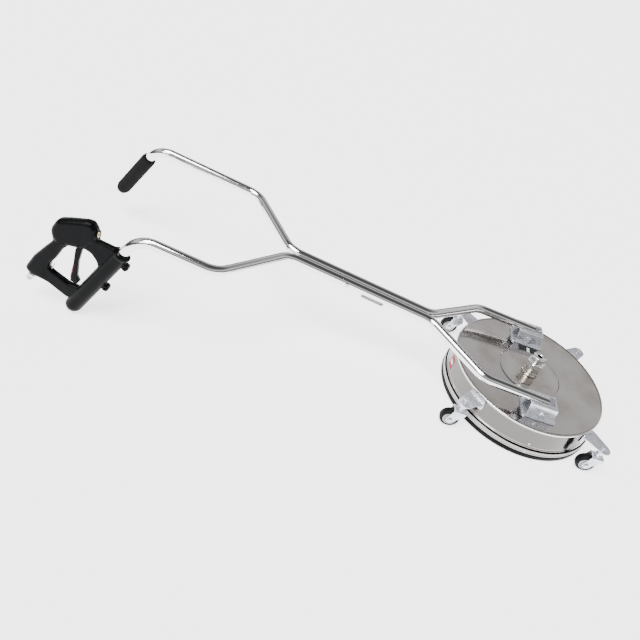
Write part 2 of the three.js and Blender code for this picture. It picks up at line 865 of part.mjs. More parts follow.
// One half of the gun's casing, with its half of the sleeve round the handlebar's leg.
function gunShell(side) {
  const body = join(
    plate(gunOutline, 0, gun.frameHalf, gunWindow, gun.bevel / 2),
    plate(barrelOutline, 0, gun.half, null, gun.bevel),
    plate(pistolOutline, 0, gun.half, null, gun.bevel),
  );
  const sleeve = along(
    turned(
      [
        [0, gun.sleeveStart],
        [gun.sleeveRadius + 1.5, gun.sleeveStart],
        [gun.sleeveRadius + 1.5, gun.sleeveStart + 8],
        [gun.sleeveRadius, gun.sleeveStart + 9],
        ...arc(0, gun.sleeveEnd - gun.sleeveRadius, gun.sleeveRadius, 0, 90, 4).slice(0, -1),
        [0, gun.sleeveEnd],
      ],
      24,
    ),
    point(0, 0, 0),
    legAlong,
  );
  const outwards = point(-legAlong.y, legAlong.x, 0);
  const lugs = gun.lugs.map((distance) => {
    const place = legPlace(distance).addScaledVector(outwards, gun.lugOut);
    return shifted(cylinder(gun.lugRadius, 0, 9, 12), place.x, place.y, 0);
  });
  const screwHoles = gun.lugs.map((distance) => {
    const place = legPlace(distance).addScaledVector(outwards, gun.lugOut);
    return shifted(cylinder(2.6, -20, 20, 10), place.x, place.y, 0);
  });
  const upperHalf = box([-200, -200, gap / 2], [400, 400, 200]);
  const whole = join(body, sleeve, ...lugs);
  const leg = along(cylinder(boreFor(tube.radius, 20), 0, gun.sleeveEnd - 19, 20), point(0, 0, 0), legAlong);
  const valveRoom = along(cylinder(boreFor(9, 14), -2, 95, 14), barrelFrom, barrelAlong);
  const pipeRoom = along(cylinder(boreFor(5, 14), -18, 140, 14), inletFrom, inletAlong);
  const triggerRoom = plate([[98, 62], [122, 60], [146, 84], [140, 100], [98, 96]], -gun.triggerHalf - gap, gun.triggerHalf + gap);
  const lockRoom = shifted(cylinder(14, -gun.lockHalf - gap, gun.lockHalf + gap, 12), ...lockPivot, 0);
  const pinRoom = shifted(cylinder(boreFor(gun.pinRadius, 10), -40, 40, 10), ...triggerPivot, 0);
  const half = cut(whole.intersect(upperHalf), leg, valveRoom, pipeRoom, triggerRoom, lockRoom, pinRoom, ...screwHoles);
  return side > 0 ? half : half.mirror([0, 0, 1]);
}

const gunGroup = cornerGroup(1, handle.gunCorner);
addMesh("gun_shell_right", gunShell(1), plastic, gunGroup);
addMesh("gun_shell_left", gunShell(-1), plastic, gunGroup);

const valve = cut(
  along(cylinder(9, 0, 60, 14), barrelFrom, barrelAlong),
  plate([[98, 62], [122, 60], [146, 84], [98, 96]], -gun.triggerHalf - gap, gun.triggerHalf + gap),
);
addMesh("gun_valve_block", valve, brass, gunGroup);
addMesh("gun_outlet", along(cylinder(7.5, 60 + gap, 80, 16, 4), barrelFrom, barrelAlong), brass, gunGroup);

const inletProfile = [[3, -14], [5, -14], [5, 122], [9, 122], [9, 130], [7, 132], [7, 140], [3, 140]];
addMesh("gun_inlet", along(turned(inletProfile, 14), inletFrom, inletAlong), steel, gunGroup);

const triggerBlade = cut(
  plate(triggerOutline, -gun.triggerHalf, gun.triggerHalf),
  shifted(cylinder(boreFor(gun.pinRadius, 10, running), -20, 20, 10), ...triggerPivot, 0),
);
addMesh("trigger", triggerBlade, accent, gunGroup);
addMesh("trigger_pin", shifted(cylinder(gun.pinRadius, -gun.half + 2, gun.half - 2, 10), ...triggerPivot, 0), steel, gunGroup);
addMesh("trigger_lock", plate(lockOutline, -gun.lockHalf, gun.lockHalf), steel, gunGroup);

// ---- origin: the floor under the middle of the whole machine ----
part.updateMatrixWorld(true);
const extent = new THREE.Box3().setFromObject(part, true);
const centre = extent.getCenter(new THREE.Vector3());
part.position.set(-centre.x, -centre.y, -extent.min.z);

export default part;
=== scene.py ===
import math
import bmesh
import bpy
from mathutils import Matrix, Vector


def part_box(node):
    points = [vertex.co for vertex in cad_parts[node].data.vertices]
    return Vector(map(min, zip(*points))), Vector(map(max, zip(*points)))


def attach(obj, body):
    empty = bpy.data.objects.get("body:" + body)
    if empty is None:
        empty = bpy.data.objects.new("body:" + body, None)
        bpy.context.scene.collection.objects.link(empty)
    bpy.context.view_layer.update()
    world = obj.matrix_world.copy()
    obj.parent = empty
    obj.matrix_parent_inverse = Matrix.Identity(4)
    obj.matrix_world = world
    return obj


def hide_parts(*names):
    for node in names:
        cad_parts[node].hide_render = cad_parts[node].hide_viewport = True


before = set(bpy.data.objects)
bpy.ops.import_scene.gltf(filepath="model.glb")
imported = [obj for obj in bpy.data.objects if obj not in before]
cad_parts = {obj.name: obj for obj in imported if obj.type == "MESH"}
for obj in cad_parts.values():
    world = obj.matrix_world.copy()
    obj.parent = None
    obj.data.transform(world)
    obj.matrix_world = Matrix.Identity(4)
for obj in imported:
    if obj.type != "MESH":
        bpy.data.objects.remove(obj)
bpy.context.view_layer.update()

# Pieces are drawn in millimetres round the deck's axis, with the floor at zero, and brought to the frame at the end.
deckLow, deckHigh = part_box("deck_shell")
toFrame = Matrix.Translation(((deckLow.x + deckHigh.x) / 2, (deckLow.y + deckHigh.y) / 2, 0)) @ Matrix.Scale(0.001, 4)
xAxis, zAxis = Vector((1, 0, 0)), Vector((0, 0, 1))
sideways = Matrix(((0, 0, 1, 0), (1, 0, 0, 0), (0, 1, 0, 0), (0, 0, 0, 1)))  # brings an outline into (y, z)
endways = Matrix.Rotation(math.pi / 2, 4, "X")  # brings an outline into (x, z)
outwards = Matrix.Rotation(math.pi / 2, 4, "Y")  # turns what stands upright to point along x


# ---- finishes ----
class Wire:  # a shader socket that takes part in sums
    def __init__(self, tree, socket):
        self.tree, self.socket = tree, socket

    def node(self, kind, settings, values, out=0):  # inputs by name or number, and the output wanted
        made = self.tree.nodes.new(kind)
        for key, value in settings.items():
            if key == "stops":
                while len(made.color_ramp.elements) < len(value):
                    made.color_ramp.elements.new(0.5)
                for stop, (at, shade) in zip(made.color_ramp.elements, value):
                    stop.position = at
                    stop.color = (shade, shade, shade, 1)
            else:
                setattr(made, key, value)
        for key, value in values.items():
            if isinstance(value, Wire):
                self.tree.links.new(value.socket, made.inputs[key])
            else:
                made.inputs[key].default_value = value
        return Wire(self.tree, made.outputs[out])

    def sum(self, operation, first, second):
        return self.node("ShaderNodeMath", {"operation": operation}, {0: first, 1: second})

    def __add__(self, other):
        return self.sum("ADD", self, other)

    def __sub__(self, other):
        return self.sum("SUBTRACT", self, other)

    def __mul__(self, other):
        return self.sum("MULTIPLY", self, other)

    def stretched(self, scale):
        return self.node("ShaderNodeMapping", {}, {"Vector": self, "Scale": scale})

    def noise(self, scale, detail, rough=0.5):
        values = {"Vector": self, "Scale": scale, "Detail": detail, "Roughness": rough}
        return self.node("ShaderNodeTexNoise", {}, values)

    def step(self, at, soft):  # 0 below the value, 1 above it
        values = {0: self, 1: at - soft, 2: at + soft}
        return self.node("ShaderNodeMapRange", {"interpolation_type": "SMOOTHSTEP"}, values)

    def between(self, low, high, soft):  # 1 where the value lies from low to high
        return self.step(low, soft) - self.step(high, soft)

    def spread(self, low, high):
        return self.node("ShaderNodeMapRange", {}, {0: self, 1: low, 2: high})

    def mixed(self, first, second):
        first, second = (v if isinstance(v, Wire) else (*v, 1) for v in (first, second))
        return self.node("ShaderNodeMix", {"data_type": "RGBA"}, {0: self, 6: first, 7: second}, 2)

    def bump(self, strength, distance):
        return self.node("ShaderNodeBump", {}, {"Height": self, "Strength": strength, "Distance": distance})


def finishNamed(name, colour, **values):  # a Principled finish, and its place on the object
    material = bpy.data.materials.new(name)
    material.use_nodes = True
    material.diffuse_color = (*colour, 1)
    shader = material.node_tree.nodes["Principled BSDF"]
    shader.inputs["Base Color"].default_value = (*colour, 1)
    for key, value in values.items():
        shader.inputs[key.replace("_", " ")].default_value = value
    place = Wire(material.node_tree, None).node("ShaderNodeTexCoord", {}, {}, "Object")
    return material, shader, place


def drives(shader, **wires):
    for key, wire in wires.items():
        wire.tree.links.new(wire.socket, shader.inputs[key.replace("_", " ")])


deckFinish = {
    # The wall colour is painted shade: the side wall is the same steel as the top, darkened to a quarter of it over
    # the wall's heights.
    "colour": (0.52, 0.495, 0.485), "stain": (0.4, 0.36, 0.335), "wall": (0.13, 0.12375, 0.12125),
    # The rim colour is a painted highlight, laid on a band of heights and radii round the rolled top edge.
    "rim": (0.8, 0.78, 0.76), "grain": 0.00001, "wallHeights": (0.038, 0.091, 0.002),
    "rimHeights": (0.0935, 0.12, 0.001), "rimRadii": (0.2125, 0.23, 0.001),
}


def deckSteel():
    d = deckFinish
    material, shader, place = finishNamed("deckSteel", d["colour"], Metallic=1.0, Anisotropic=0.35)
    grain = place.stretched((60, 1100, 400)).noise(1.0, 3.0)
    cloud = place.noise(9.0, 3.0, 0.6)
    fine = place.noise(340.0, 2.0)
    height = place.node("ShaderNodeSeparateXYZ", {}, {"Vector": place}, "Z")
    # Painted shade: the side wall's band of heights takes the darker wall colour.
    wall = height.between(*d["wallHeights"])
    values = {"Vector": place, "Location": -toFrame.translation, "Scale": (1, 1, 0)}
    centred = place.node("ShaderNodeMapping", {}, values)
    reach = place.node("ShaderNodeVectorMath", {"operation": "LENGTH"}, {"Vector": centred}, "Value")
    # Painted highlight: the band round the rolled top edge takes the light rim colour.
    rim = height.between(*d["rimHeights"]) * reach.between(*d["rimRadii"])
    steel = cloud.spread(0.42, 0.68).mixed(d["colour"], d["stain"])
    drives(
        shader,
        Base_Color=rim.mixed(wall.mixed(steel, d["wall"]), d["rim"]),
        Roughness=cloud * 0.12 + grain * 0.1 + fine * 0.04,
        Normal=(grain + fine * 0.4).bump(0.25, d["grain"]),
    )
    return material


def ringSteel():
    material, shader, place = finishNamed("ringSteel", (0.32, 0.315, 0.31), Metallic=1.0)
    grain = place.stretched((30, 30, 2600)).noise(1.0, 2.0)
    drives(shader, Roughness=grain * 0.22 + 0.16, Normal=grain.bump(0.3, 0.00002))
    return material


zincFinish = {"colour": (0.7, 0.72, 0.77), "dull": (0.54, 0.56, 0.62), "rough": 0.2}


def zincPlate():
    material, shader, place = finishNamed("zincPlate", zincFinish["colour"], Metallic=0.8)
    spangle = place.node("ShaderNodeTexVoronoi", {"feature": "SMOOTH_F1"}, {"Vector": place, "Scale": 260.0})
    cloud = place.noise(45.0, 4.0, 0.6)
    drives(
        shader,
        Base_Color=cloud.spread(0.4, 0.7).mixed(zincFinish["colour"], zincFinish["dull"]),
        Roughness=cloud * 0.1 + spangle * 0.05 + zincFinish["rough"],
        Normal=cloud.bump(0.02, 0.0001),
    )
    return material


def chromeTube():
    material, shader, place = finishNamed("chromeTube", (0.86, 0.86, 0.87), Metallic=1.0)
    haze = place.noise(14.0, 4.0, 0.6)
    smudge = place.noise(120.0, 3.0)
    drives(
        shader,
        Roughness=haze.spread(0.45, 0.75) * 0.05 + smudge * 0.02 + 0.07,
        Normal=smudge.bump(0.01, 0.00005),
    )
    return material


def nickelBody():
    material, shader, place = finishNamed("nickelBody", (0.72, 0.69, 0.62), Metallic=1.0)
    lathe = place.stretched((20, 20, 3200)).noise(1.0, 2.0)
    cloud = place.noise(60.0, 3.0)
    drives(
        shader,
        Base_Color=cloud.spread(0.4, 0.7).mixed((0.74, 0.72, 0.67), (0.62, 0.57, 0.47)),
        Roughness=lathe * 0.12 + 0.1,
        Normal=lathe.bump(0.2, 0.00002),
    )
    return material


def turnedBrass():
    material, shader, place = finishNamed("turnedBrass", (0.72, 0.55, 0.28), Metallic=1.0)
    cloud = place.noise(90.0, 4.0, 0.6)
    drives(
        shader,
        Base_Color=cloud.spread(0.4, 0.7).mixed((0.78, 0.6, 0.34), (0.5, 0.34, 0.16)),
        Roughness=cloud * 0.2 + 0.18,
    )
    return material


def mouldedMatter(name, colour, scuff, rough, grain, depth):  # rubber or plastic: fine mould grain and scuffs
    material, shader, place = finishNamed(name, colour, Specular_IOR_Level=0.07)
    stipple = place.noise(grain, 3.0, 0.6)
    wear = place.noise(38.0, 5.0, 0.65)
    drives(
        shader,
        Base_Color=wear.spread(0.5, 0.72).mixed(colour, scuff),
        Roughness=wear * 0.14 + stipple * 0.1 + (rough - 0.12),
        Normal=stipple.bump(0.5, depth),
    )
    return material


def gripFoam():
    material, shader, place = finishNamed("gripFoam", (0.006, 0.006, 0.006), Specular_IOR_Level=0.05)
    cells = place.node("ShaderNodeTexVoronoi", {}, {"Vector": place, "Scale": 620.0})
    lumps = place.noise(160.0, 4.0, 0.7)
    drives(
        shader,
        Base_Color=(cells * 1.4).mixed((0.003, 0.003, 0.003), (0.012, 0.012, 0.0125)),
        Roughness=lumps * 0.2 + 0.75,
        Normal=(cells + lumps).bump(0.8, 0.0006),
    )
    return material


finishes = {
    "deck": deckSteel(), "ring": ringSteel(), "zinc": zincPlate(), "chrome": chromeTube(),
    "nickel": nickelBody(), "brass": turnedBrass(), "foam": gripFoam(),
}
# name, colour, scuffed colour, roughness, grain's scale and depth
for key, *values in (
    ("skirt", "skirtRubber", (0.003,) * 3, (0.008,) * 3, 0.4, 500.0, 0.0001),
    ("tyre", "tyreRubber", (0.006,) * 3, (0.02,) * 3, 0.5, 700.0, 0.0002),
    ("plastic", "gunPlastic", (0.0012, 0.0014, 0.0018), (0.003, 0.0032, 0.004), 0.32, 900.0, 0.00005),
    ("hub", "hubGrey", (0.5, 0.52, 0.54), (0.36, 0.37, 0.39), 0.45, 400.0, 0.00005),
    ("trigger", "triggerRed", (0.09, 0.012, 0.016), (0.13, 0.02, 0.024), 0.4, 800.0, 0.00006),
    ("labelBlack", "labelBlack", (0.02, 0.02, 0.022), (0.03, 0.03, 0.032), 0.4, 300.0, 0.00002),
    ("labelRed", "labelRed", (0.3, 0.012, 0.02), (0.25, 0.02, 0.03), 0.4, 300.0, 0.00002),
    ("labelWhite", "labelWhite", (0.75,) * 3, (0.68,) * 3, 0.45, 300.0, 0.00002),
):
    finishes[key] = mouldedMatter(*values)
print("finishes ready")


# ---- shapes ----
def meshOf(work):
    mesh = bpy.data.meshes.new("shape")
    work.to_mesh(mesh)
    work.free()
    return mesh


def evaluated(piece, *others):  # the mesh that an object's modifiers make, after which the object goes
    mesh = bpy.data.meshes.new_from_object(piece.evaluated_get(bpy.context.evaluated_depsgraph_get()))
    for thing in (piece, *others):
        bpy.data.objects.remove(thing)
    return mesh


def shown(mesh, name="shape"):
    piece = bpy.data.objects.new(name, mesh)
    bpy.context.scene.collection.objects.link(piece)
    return piece


def moved(mesh, matrix):
    copy = mesh.copy()
    copy.transform(matrix)
    return copy


def shift(x, y, z):
    return Matrix.Translation((x, y, z))


def joined(*meshes):
    work = bmesh.new()
    for mesh in meshes:
        work.from_mesh(mesh)
    return meshOf(work)


def placed(mesh, place, along):
    return moved(mesh, Matrix.Translation(place) @ zAxis.rotation_difference(along).to_matrix().to_4x4())


def lathe(profile, sides=72):  # points of (radius, height), up the outside and down the inside
    work = bmesh.new()
    rings = []
    for radius, height in profile:
        count = 1 if radius < 1e-6 else sides
        turns = [2 * math.pi * k / sides for k in range(count)]
        rings.append([work.verts.new((radius * math.cos(a), radius * math.sin(a), height)) for a in turns])
    onAxis = len(rings[0]) == 1 and len(rings[-1]) == 1
    for below, above in zip(rings, rings[1:] if onAxis else rings[1:] + rings[:1]):
        for k in range(sides):
            corners = [ring[i % len(ring)] for ring, i in ((below, k), (below, k + 1), (above, k + 1), (above, k))]
            corners = list(dict.fromkeys(corners))
            if len(corners) > 2:
                work.faces.new(corners)
    return meshOf(work)


def cylinder(radius, low, high, place=(0, 0, 0), along=zAxis, sides=40):
    return placed(lathe([(0, low), (radius, low), (radius, high), (0, high)], sides), place, along)


def rounded(points, radius, closed=True, steps=5):  # a point's third number is a corner radius of its own
    made = []
    for i, point in enumerate(points):
        here = Vector(point[:2])
        bend = point[2] if len(point) > 2 else radius
        before = Vector(points[i - 1][:2]) - here
        after = Vector(points[(i + 1) % len(points)][:2]) - here
        atEnd = not closed and i in (0, len(points) - 1)
        half = 0 if atEnd else before.angle(after) / 2
        if atEnd or bend <= 0 or half > 1.55:
            made.append(tuple(here))
            continue
        reach = min(bend / math.tan(half), before.length * 0.49, after.length * 0.49)
        bend = reach * math.tan(half)
        centre = here + (before.normalized() + after.normalized()).normalized() * (bend / math.sin(half))
        start = here + before.normalized() * reach - centre
        end = here + after.normalized() * reach - centre
        turn = math.atan2(start.x * end.y - start.y * end.x, start.dot(end))
        for k in range(steps + 1):
            made.append(tuple(centre + Matrix.Rotation(turn * k / steps, 2) @ start))
    return made


def turnedRound(profile, radius=0.5, sides=72, steps=3):
    onAxis = profile[0][0] == 0 and profile[-1][0] == 0
    return lathe(rounded(profile, radius, not onAxis, steps), sides)


def arc(x, y, radius, start, end, steps=8):
    turns = [math.radians(start + (end - start) * k / steps) for k in range(steps + 1)]
    return [(x + radius * math.cos(a), y + radius * math.sin(a)) for a in turns]


def hexagon(radius):
    return arc(0, 0, radius, 90, 390, 5)


def cleaned(mesh, reach=0.002):
    work = bmesh.new()
    work.from_mesh(mesh)
    bmesh.ops.remove_doubles(work, verts=work.verts, dist=reach)
    bmesh.ops.recalc_face_normals(work, faces=work.faces)
    bpy.data.meshes.remove(mesh)
    return meshOf(work)


def slab(outline, low, high, holes=(), edge=0.5, steps=2):  # a flat outline given thickness, with rounded edges
    curve = bpy.data.curves.new("outline", "CURVE")
    curve.dimensions, curve.fill_mode = "2D", "BOTH"
    curve.extrude, curve.bevel_depth = (high - low) / 2 - edge, edge
    curve.bevel_resolution, curve.offset = steps, -edge
    for loop in (outline, *holes):
        spline = curve.splines.new("POLY")
        spline.points.add(len(loop) - 1)
        for spot, (x, y) in zip(spline.points, loop):
            spot.co = (x, y, 0, 1)
        spline.use_cyclic_u = True
    mesh = evaluated(shown(curve))
    mesh.transform(shift(0, 0, (low + high) / 2))
    return cleaned(mesh)


def block(low, high, edge=0.5, steps=2):
    work = bmesh.new()
    bmesh.ops.create_cube(work, size=1)
    low, high = Vector(low), Vector(high)
    bmesh.ops.transform(work, verts=work.verts, matrix=Matrix.LocRotScale((low + high) / 2, None, high - low))
    if edge:
        bmesh.ops.bevel(work, geom=work.edges, offset=edge, segments=steps, profile=0.5, affect="EDGES")
    return meshOf(work)


def solidWith(mesh, tools, operation="DIFFERENCE"):
    piece = shown(mesh)
    cutters = [shown(tool) for tool in tools]
    for cutter in cutters:
        change = piece.modifiers.new("change", "BOOLEAN")
        change.object, change.operation, change.solver = cutter, operation, "EXACT"
    return evaluated(piece, *cutters)


def softEdges(mesh, width, segments, angle):
    piece = shown(mesh)
    bevel = piece.modifiers.new("edges", "BEVEL")
    bevel.width, bevel.segments, bevel.limit_method = width, segments, "ANGLE"
    bevel.angle_limit, bevel.harden_normals, bevel.use_clamp_overlap = math.radians(angle), False, True
    return evaluated(piece)


def moulded(mesh, grain, smoothing=5):  # overlapping solids grown into one, with soft fillets where they meet
    piece = shown(mesh)
    merge = piece.modifiers.new("merge", "REMESH")
    merge.mode, merge.voxel_size = "VOXEL", grain
    soften = piece.modifiers.new("soften", "SMOOTH")
    soften.factor, soften.iterations = 0.5, smoothing
    return evaluated(piece)


# ---- node trees that follow a path or repeat a shape ----
def treeOf(name, inputs):
    tree = bpy.data.node_groups.new(name, "GeometryNodeTree")
    for label, kind, value in inputs:
        socket = tree.interface.new_socket(label, in_out="INPUT", socket_type=kind)
        if value is not None:
            socket.default_value = value
    tree.interface.new_socket("Geometry", in_out="OUTPUT", socket_type="NodeSocketGeometry")
    return tree, tree.nodes.new("NodeGroupInput").outputs, tree.nodes.new("NodeGroupOutput")


def finishTree(tree, given, result, made, *links):  # a link is a socket, then a node and its input
    real, dress = tree.nodes.new("GeometryNodeRealizeInstances"), tree.nodes.new("GeometryNodeSetMaterial")
    ends = ((made, real, 0), (real.outputs[0], dress, "Geometry"), (given["Finish"], dress, "Material"))
    for socket, node, name in (*links, *ends, (dress.outputs[0], result, 0)):
        tree.links.new(socket, node.inputs[name])
    return tree


def pathTree():
    inputs = [
        ("Path", "NodeSocketGeometry", None),
        ("Radius", "NodeSocketFloat", 12.7),
        ("Sides", "NodeSocketInt", 48),
        ("Closed Ends", "NodeSocketBool", False),
        ("Finish", "NodeSocketMaterial", None),
    ]
    tree, given, result = treeOf("rodAlongPath", inputs)
    line = tree.nodes.new("GeometryNodeMeshToCurve")
    ring = tree.nodes.new("GeometryNodeCurvePrimitiveCircle")
    sweep = tree.nodes.new("GeometryNodeCurveToMesh")
    return finishTree(
        tree, given, result, sweep.outputs[0],
        (given["Path"], line, "Mesh"), (given["Sides"], ring, "Resolution"), (given["Radius"], ring, "Radius"),
        (line.outputs[0], sweep, "Curve"), (ring.outputs[0], sweep, "Profile Curve"),
        (given["Closed Ends"], sweep, "Fill Caps"),
    )


def ringTree():
    inputs = [
        ("Shape", "NodeSocketGeometry", None),
        ("Count", "NodeSocketInt", 8),
        ("Radius", "NodeSocketFloat", 10.0),
        ("Finish", "NodeSocketMaterial", None),
    ]
    tree, given, result = treeOf("copiesRoundRing", inputs)
    spots, index, share, turn, angles, reach, place, copy = (
        tree.nodes.new(kind)
        for kind in (
            "GeometryNodePoints",
            "GeometryNodeInputIndex",
            "ShaderNodeMath",
            "ShaderNodeMath",
            "ShaderNodeCombineXYZ",
            "ShaderNodeCombineXYZ",
            "ShaderNodeVectorRotate",
            "GeometryNodeInstanceOnPoints",
        )
    )
    share.operation, turn.operation, place.rotation_type = "DIVIDE", "MULTIPLY", "Z_AXIS"
    turn.inputs[1].default_value = 2 * math.pi
    return finishTree(
        tree, given, result, copy.outputs[0],
        (given["Count"], spots, "Count"), (index.outputs[0], share, 0), (given["Count"], share, 1),
        (share.outputs[0], turn, 0), (turn.outputs[0], angles, "Z"),
        (given["Radius"], reach, "X"), (reach.outputs[0], place, "Vector"), (turn.outputs[0], place, "Angle"),
        (place.outputs[0], spots, "Position"), (spots.outputs[0], copy, "Points"),
        (given["Shape"], copy, "Instance"), (angles.outputs[0], copy, "Rotation"),
    )


trees = {"path": pathTree(), "ring": ringTree()}


def grown(tree, mesh, **values):
    piece = shown(mesh)
    modifier = piece.modifiers.new(tree.name, "NODES")
    modifier.node_group = tree
    for item in tree.interface.items_tree:
        if item.in_out == "INPUT" and item.name.replace(" ", "") in values:
            modifier[item.identifier] = values[item.name.replace(" ", "")]
    return evaluated(piece)


def rod(points, radius, finish, sides, closedEnds=True):
    line = bpy.data.meshes.new("line")
    line.from_pydata([tuple(p) for p in points], [(i, i + 1) for i in range(len(points) - 1)], [])
    return grown(trees["path"], line, Radius=radius, Sides=sides, ClosedEnds=closedEnds, Finish=finish)


def ringOf(mesh, count, radius, finish):
    return grown(trees["ring"], mesh, Count=count, Radius=radius, Finish=finish)


def pipe(points, radius, wall, finish, sides=56):  # an open tube with a wall
    piece = shown(rod(points, radius, finish, sides, False))
    skin = piece.modifiers.new("wall", "SOLIDIFY")
    skin.thickness, skin.offset, skin.use_even_offset = wall, -1, True
    return cleaned(evaluated(piece))


def bent(corners, bends, step=5):  # corner points, with each inner corner turned to its bend radius
    made = [corners[0]]
    for i in range(1, len(corners) - 1):
        before = (corners[i] - corners[i - 1]).normalized()
        after = (corners[i + 1] - corners[i]).normalized()
        angle = before.angle(after)
        axis = before.cross(after).normalized()
        start = corners[i] - before * bends[i - 1] * math.tan(angle / 2)
        centre = start + axis.cross(before) * bends[i - 1]
        count = max(2, math.ceil(math.degrees(angle) / step))
        made += [centre + Matrix.Rotation(angle * k / count, 3, axis) @ (start - centre) for k in range(count + 1)]
    return made + [corners[-1]]


def settle(name, mesh, finish, body, nodes=(), place=None, sharp=32):
    mesh.transform(toFrame @ (place or Matrix()))
    mesh.name = name
    mesh.materials.clear()
    mesh.materials.append(finishes[finish])
    mesh.polygons.foreach_set("material_index", [0] * len(mesh.polygons))
    mesh.shade_smooth()
    mesh.set_sharp_from_angle(angle=math.radians(sharp))
    piece = shown(mesh, name)
    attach(piece, body)
    if nodes:
        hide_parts(*([nodes] if isinstance(nodes, str) else nodes))
    return piece


# ---- deck ----
deckSizes = {
    "wall": 213, "sheet": 2.5, "top": 97, "bottom": 20, "emboss": 86, "embossRise": 1.2, "bead": 34,
    "bore": 14.3,
}


def makeDeck():
    d = deckSizes
    under, inner, raised = d["top"] - d["sheet"], d["wall"] - d["sheet"], d["top"] + d["embossRise"]
    profile = [
        (inner, d["bottom"], 0.4), (d["wall"], d["bottom"], 0.4), (d["wall"], d["bead"] - 3, 1.5),
        (d["wall"] + 2.5, d["bead"], 2), (d["wall"], d["bead"] + 3, 1.5), (d["wall"], d["top"] - 5, 2),
        (d["wall"] + 2, d["top"] - 2.6, 1.6), (d["wall"] + 1.4, d["top"] + 0.9, 1.6),
        (d["wall"] - 2, d["top"] + 0.9, 1.6), (d["wall"] - 5, d["top"], 2), (d["emboss"] + 2.2, d["top"], 1.5),
        (d["emboss"] - 0.4, raised, 1.5), (d["bore"], raised, 0.2), (d["bore"], under, 0.2), (inner, under, 5),
    ]
    settle("deck", lathe(rounded(profile, 1, True, 5), 224), "deck", "deck", "deck_shell")


rivetSizes = {"height": 46, "radius": 3.2, "turn": 0.1}


def makeRivet():
    r = rivetSizes
    profile = [(0, 0.1), (r["radius"], 0.1), (r["radius"] - 0.6, 1.4), (1.1, 1.8), (1, 0.9), (0, 0.9)]
    place = Matrix.Rotation(math.radians(r["turn"]), 4, "Z") @ shift(deckSizes["wall"], 0, r["height"]) @ outwards
    settle("wallRivet", turnedRound(profile, 0.3, 28), "zinc", "deck", (), place)


skirtSizes = {"inner": 213.3, "clamped": 217.3, "outer": 219.5, "low": 3, "lip": 13, "high": 27, "rib": 0.5}


def makeSkirt():
    s = skirtSizes
    profile = [(s["inner"] + 2, s["low"], 0.8), (s["outer"], s["low"], 1.2)]
    for height in (6, 9, 12):  # fine moulded ribs round the lip
        steps = ((0, -0.5), (s["rib"], 0), (0, 0.5))
        profile += [(s["outer"] - back, height + up, 0.2) for back, up in steps]
    profile += [
        (s["outer"], s["lip"] + 0.6, 1), (s["clamped"], s["lip"] + 2.6, 0.8), (s["clamped"], s["high"], 0.5),
        (s["inner"], s["high"], 0.5), (s["inner"], s["low"] + 4, 1),
    ]
    settle("skirt", lathe(rounded(profile, 0.5, True, 3), 224), "skirt", "deck", "skirt")


clampSizes = {"inner": 217.6, "outer": 218.9, "low": 17, "high": 30, "screws": 4, "screwHeight": 23.5}


def makeClampRing():
    c = clampSizes
    profile = [
        (c["inner"], c["low"], 0.1), (c["outer"], c["low"], 0.4), (c["outer"], c["low"] + 3.4, 0.3),
        (c["outer"] - 0.6, c["low"] + 4.2, 0.3), (c["outer"] - 0.6, c["high"] - 5, 0.3),
        (c["outer"], c["high"] - 4.2, 0.3), (c["outer"], c["high"], 0.4), (c["inner"], c["high"], 0.1),
    ]
    ring = lathe(rounded(profile, 0.3, True, 3), 224)
    settle("clampRing", ring, "ring", "deck", "skirt_clamp_ring")
    head = turnedRound([(0, 0), (3.6, 0), (3.6, 0.9), (2.4, 2), (0, 2.3)], 0.5, 28)
    head = solidWith(head, [block((-0.5, -4, 1.3), (0.5, 4, 3), 0), block((-4, -0.5, 1.3), (4, 0.5, 3), 0)])
    screws = ringOf(moved(head, outwards), c["screws"], c["outer"] - 0.6, finishes["zinc"])
    settle("clampScrews", screws, "zinc", "deck", (), shift(0, 0, c["screwHeight"]))


labelSizes = {
    "across": (-109, -60), "along": (-22, 36), "bar": ((4, 12), (1, 9)), "thick": 0.35, "redAt": -84,
    "redWidth": 7.0, "redHeights": (44, 78), "redSteps": 16,
}


def makeLabels():
    s = labelSizes
    (x0, x1), (y0, y1), (near, far) = s["across"], s["along"], s["bar"]
    top, thick = deckSizes["top"], s["thick"]
    sheet = slab(rounded([(x0, y0), (x1, y0), (x1, y1), (x0, y1)], 3), top, top + thick, (), 0.1, 1)
    settle("deckLabel", sheet, "labelBlack", "deck", ())
    line = rounded([(x0 + 4, near[0]), (x1, far[0]), (x1, far[1]), (x0 + 4, near[1])], 1)
    bar = slab(line, top + 0.2, top + thick + 0.2, (), 0.08, 1)
    settle("deckLabelBar", bar, "labelWhite", "deck", ())
    low, high = s["redHeights"]
    half, wall, steps = s["redWidth"] / 2, deckSizes["wall"] + 0.1, s["redSteps"]
    for name, finish, slot, inset, wide, lift in (
        ("sideLabel", "labelRed", "trigger_red", 0, half, 0),
        ("sideLabelBar", "labelWhite", "hub_plastic", 12, half * 0.7, 0.25),
    ):
        work = bmesh.new()
        inner, outer = wall + lift, wall + lift + 0.3
        corners = ((inner, low + inset), (outer, low + inset), (outer, high - inset), (inner, high - inset))
        turns = [math.radians(s["redAt"] - wide + 2 * wide * k / steps) for k in range(steps + 1)]
        loops = [[work.verts.new((r * math.cos(a), r * math.sin(a), z)) for r, z in corners] for a in turns]
        for one, two in zip(loops, loops[1:]):
            for i in range(4):
                work.faces.new((one[i - 1], one[i], two[i], two[i - 1]))
        work.faces.new(loops[0])
        work.faces.new(loops[-1][::-1])
        settle(name, cleaned(meshOf(work)), finish, "deck", ())


makeDeck()
makeRivet()
makeSkirt()
makeClampRing()
makeLabels()
print("deck made")


# ---- swivel and spray bar ----
swivelSizes = {
    "seat": 98.5, "foot": 23, "body": 21, "hexLow": 126.3, "hexHigh": 138, "hex": 25.5, "head": 18, "top": 159,
    "bore": 7, "port": 2.2, "portReach": 12.5, "portTurns": (90, 210, 330),
}


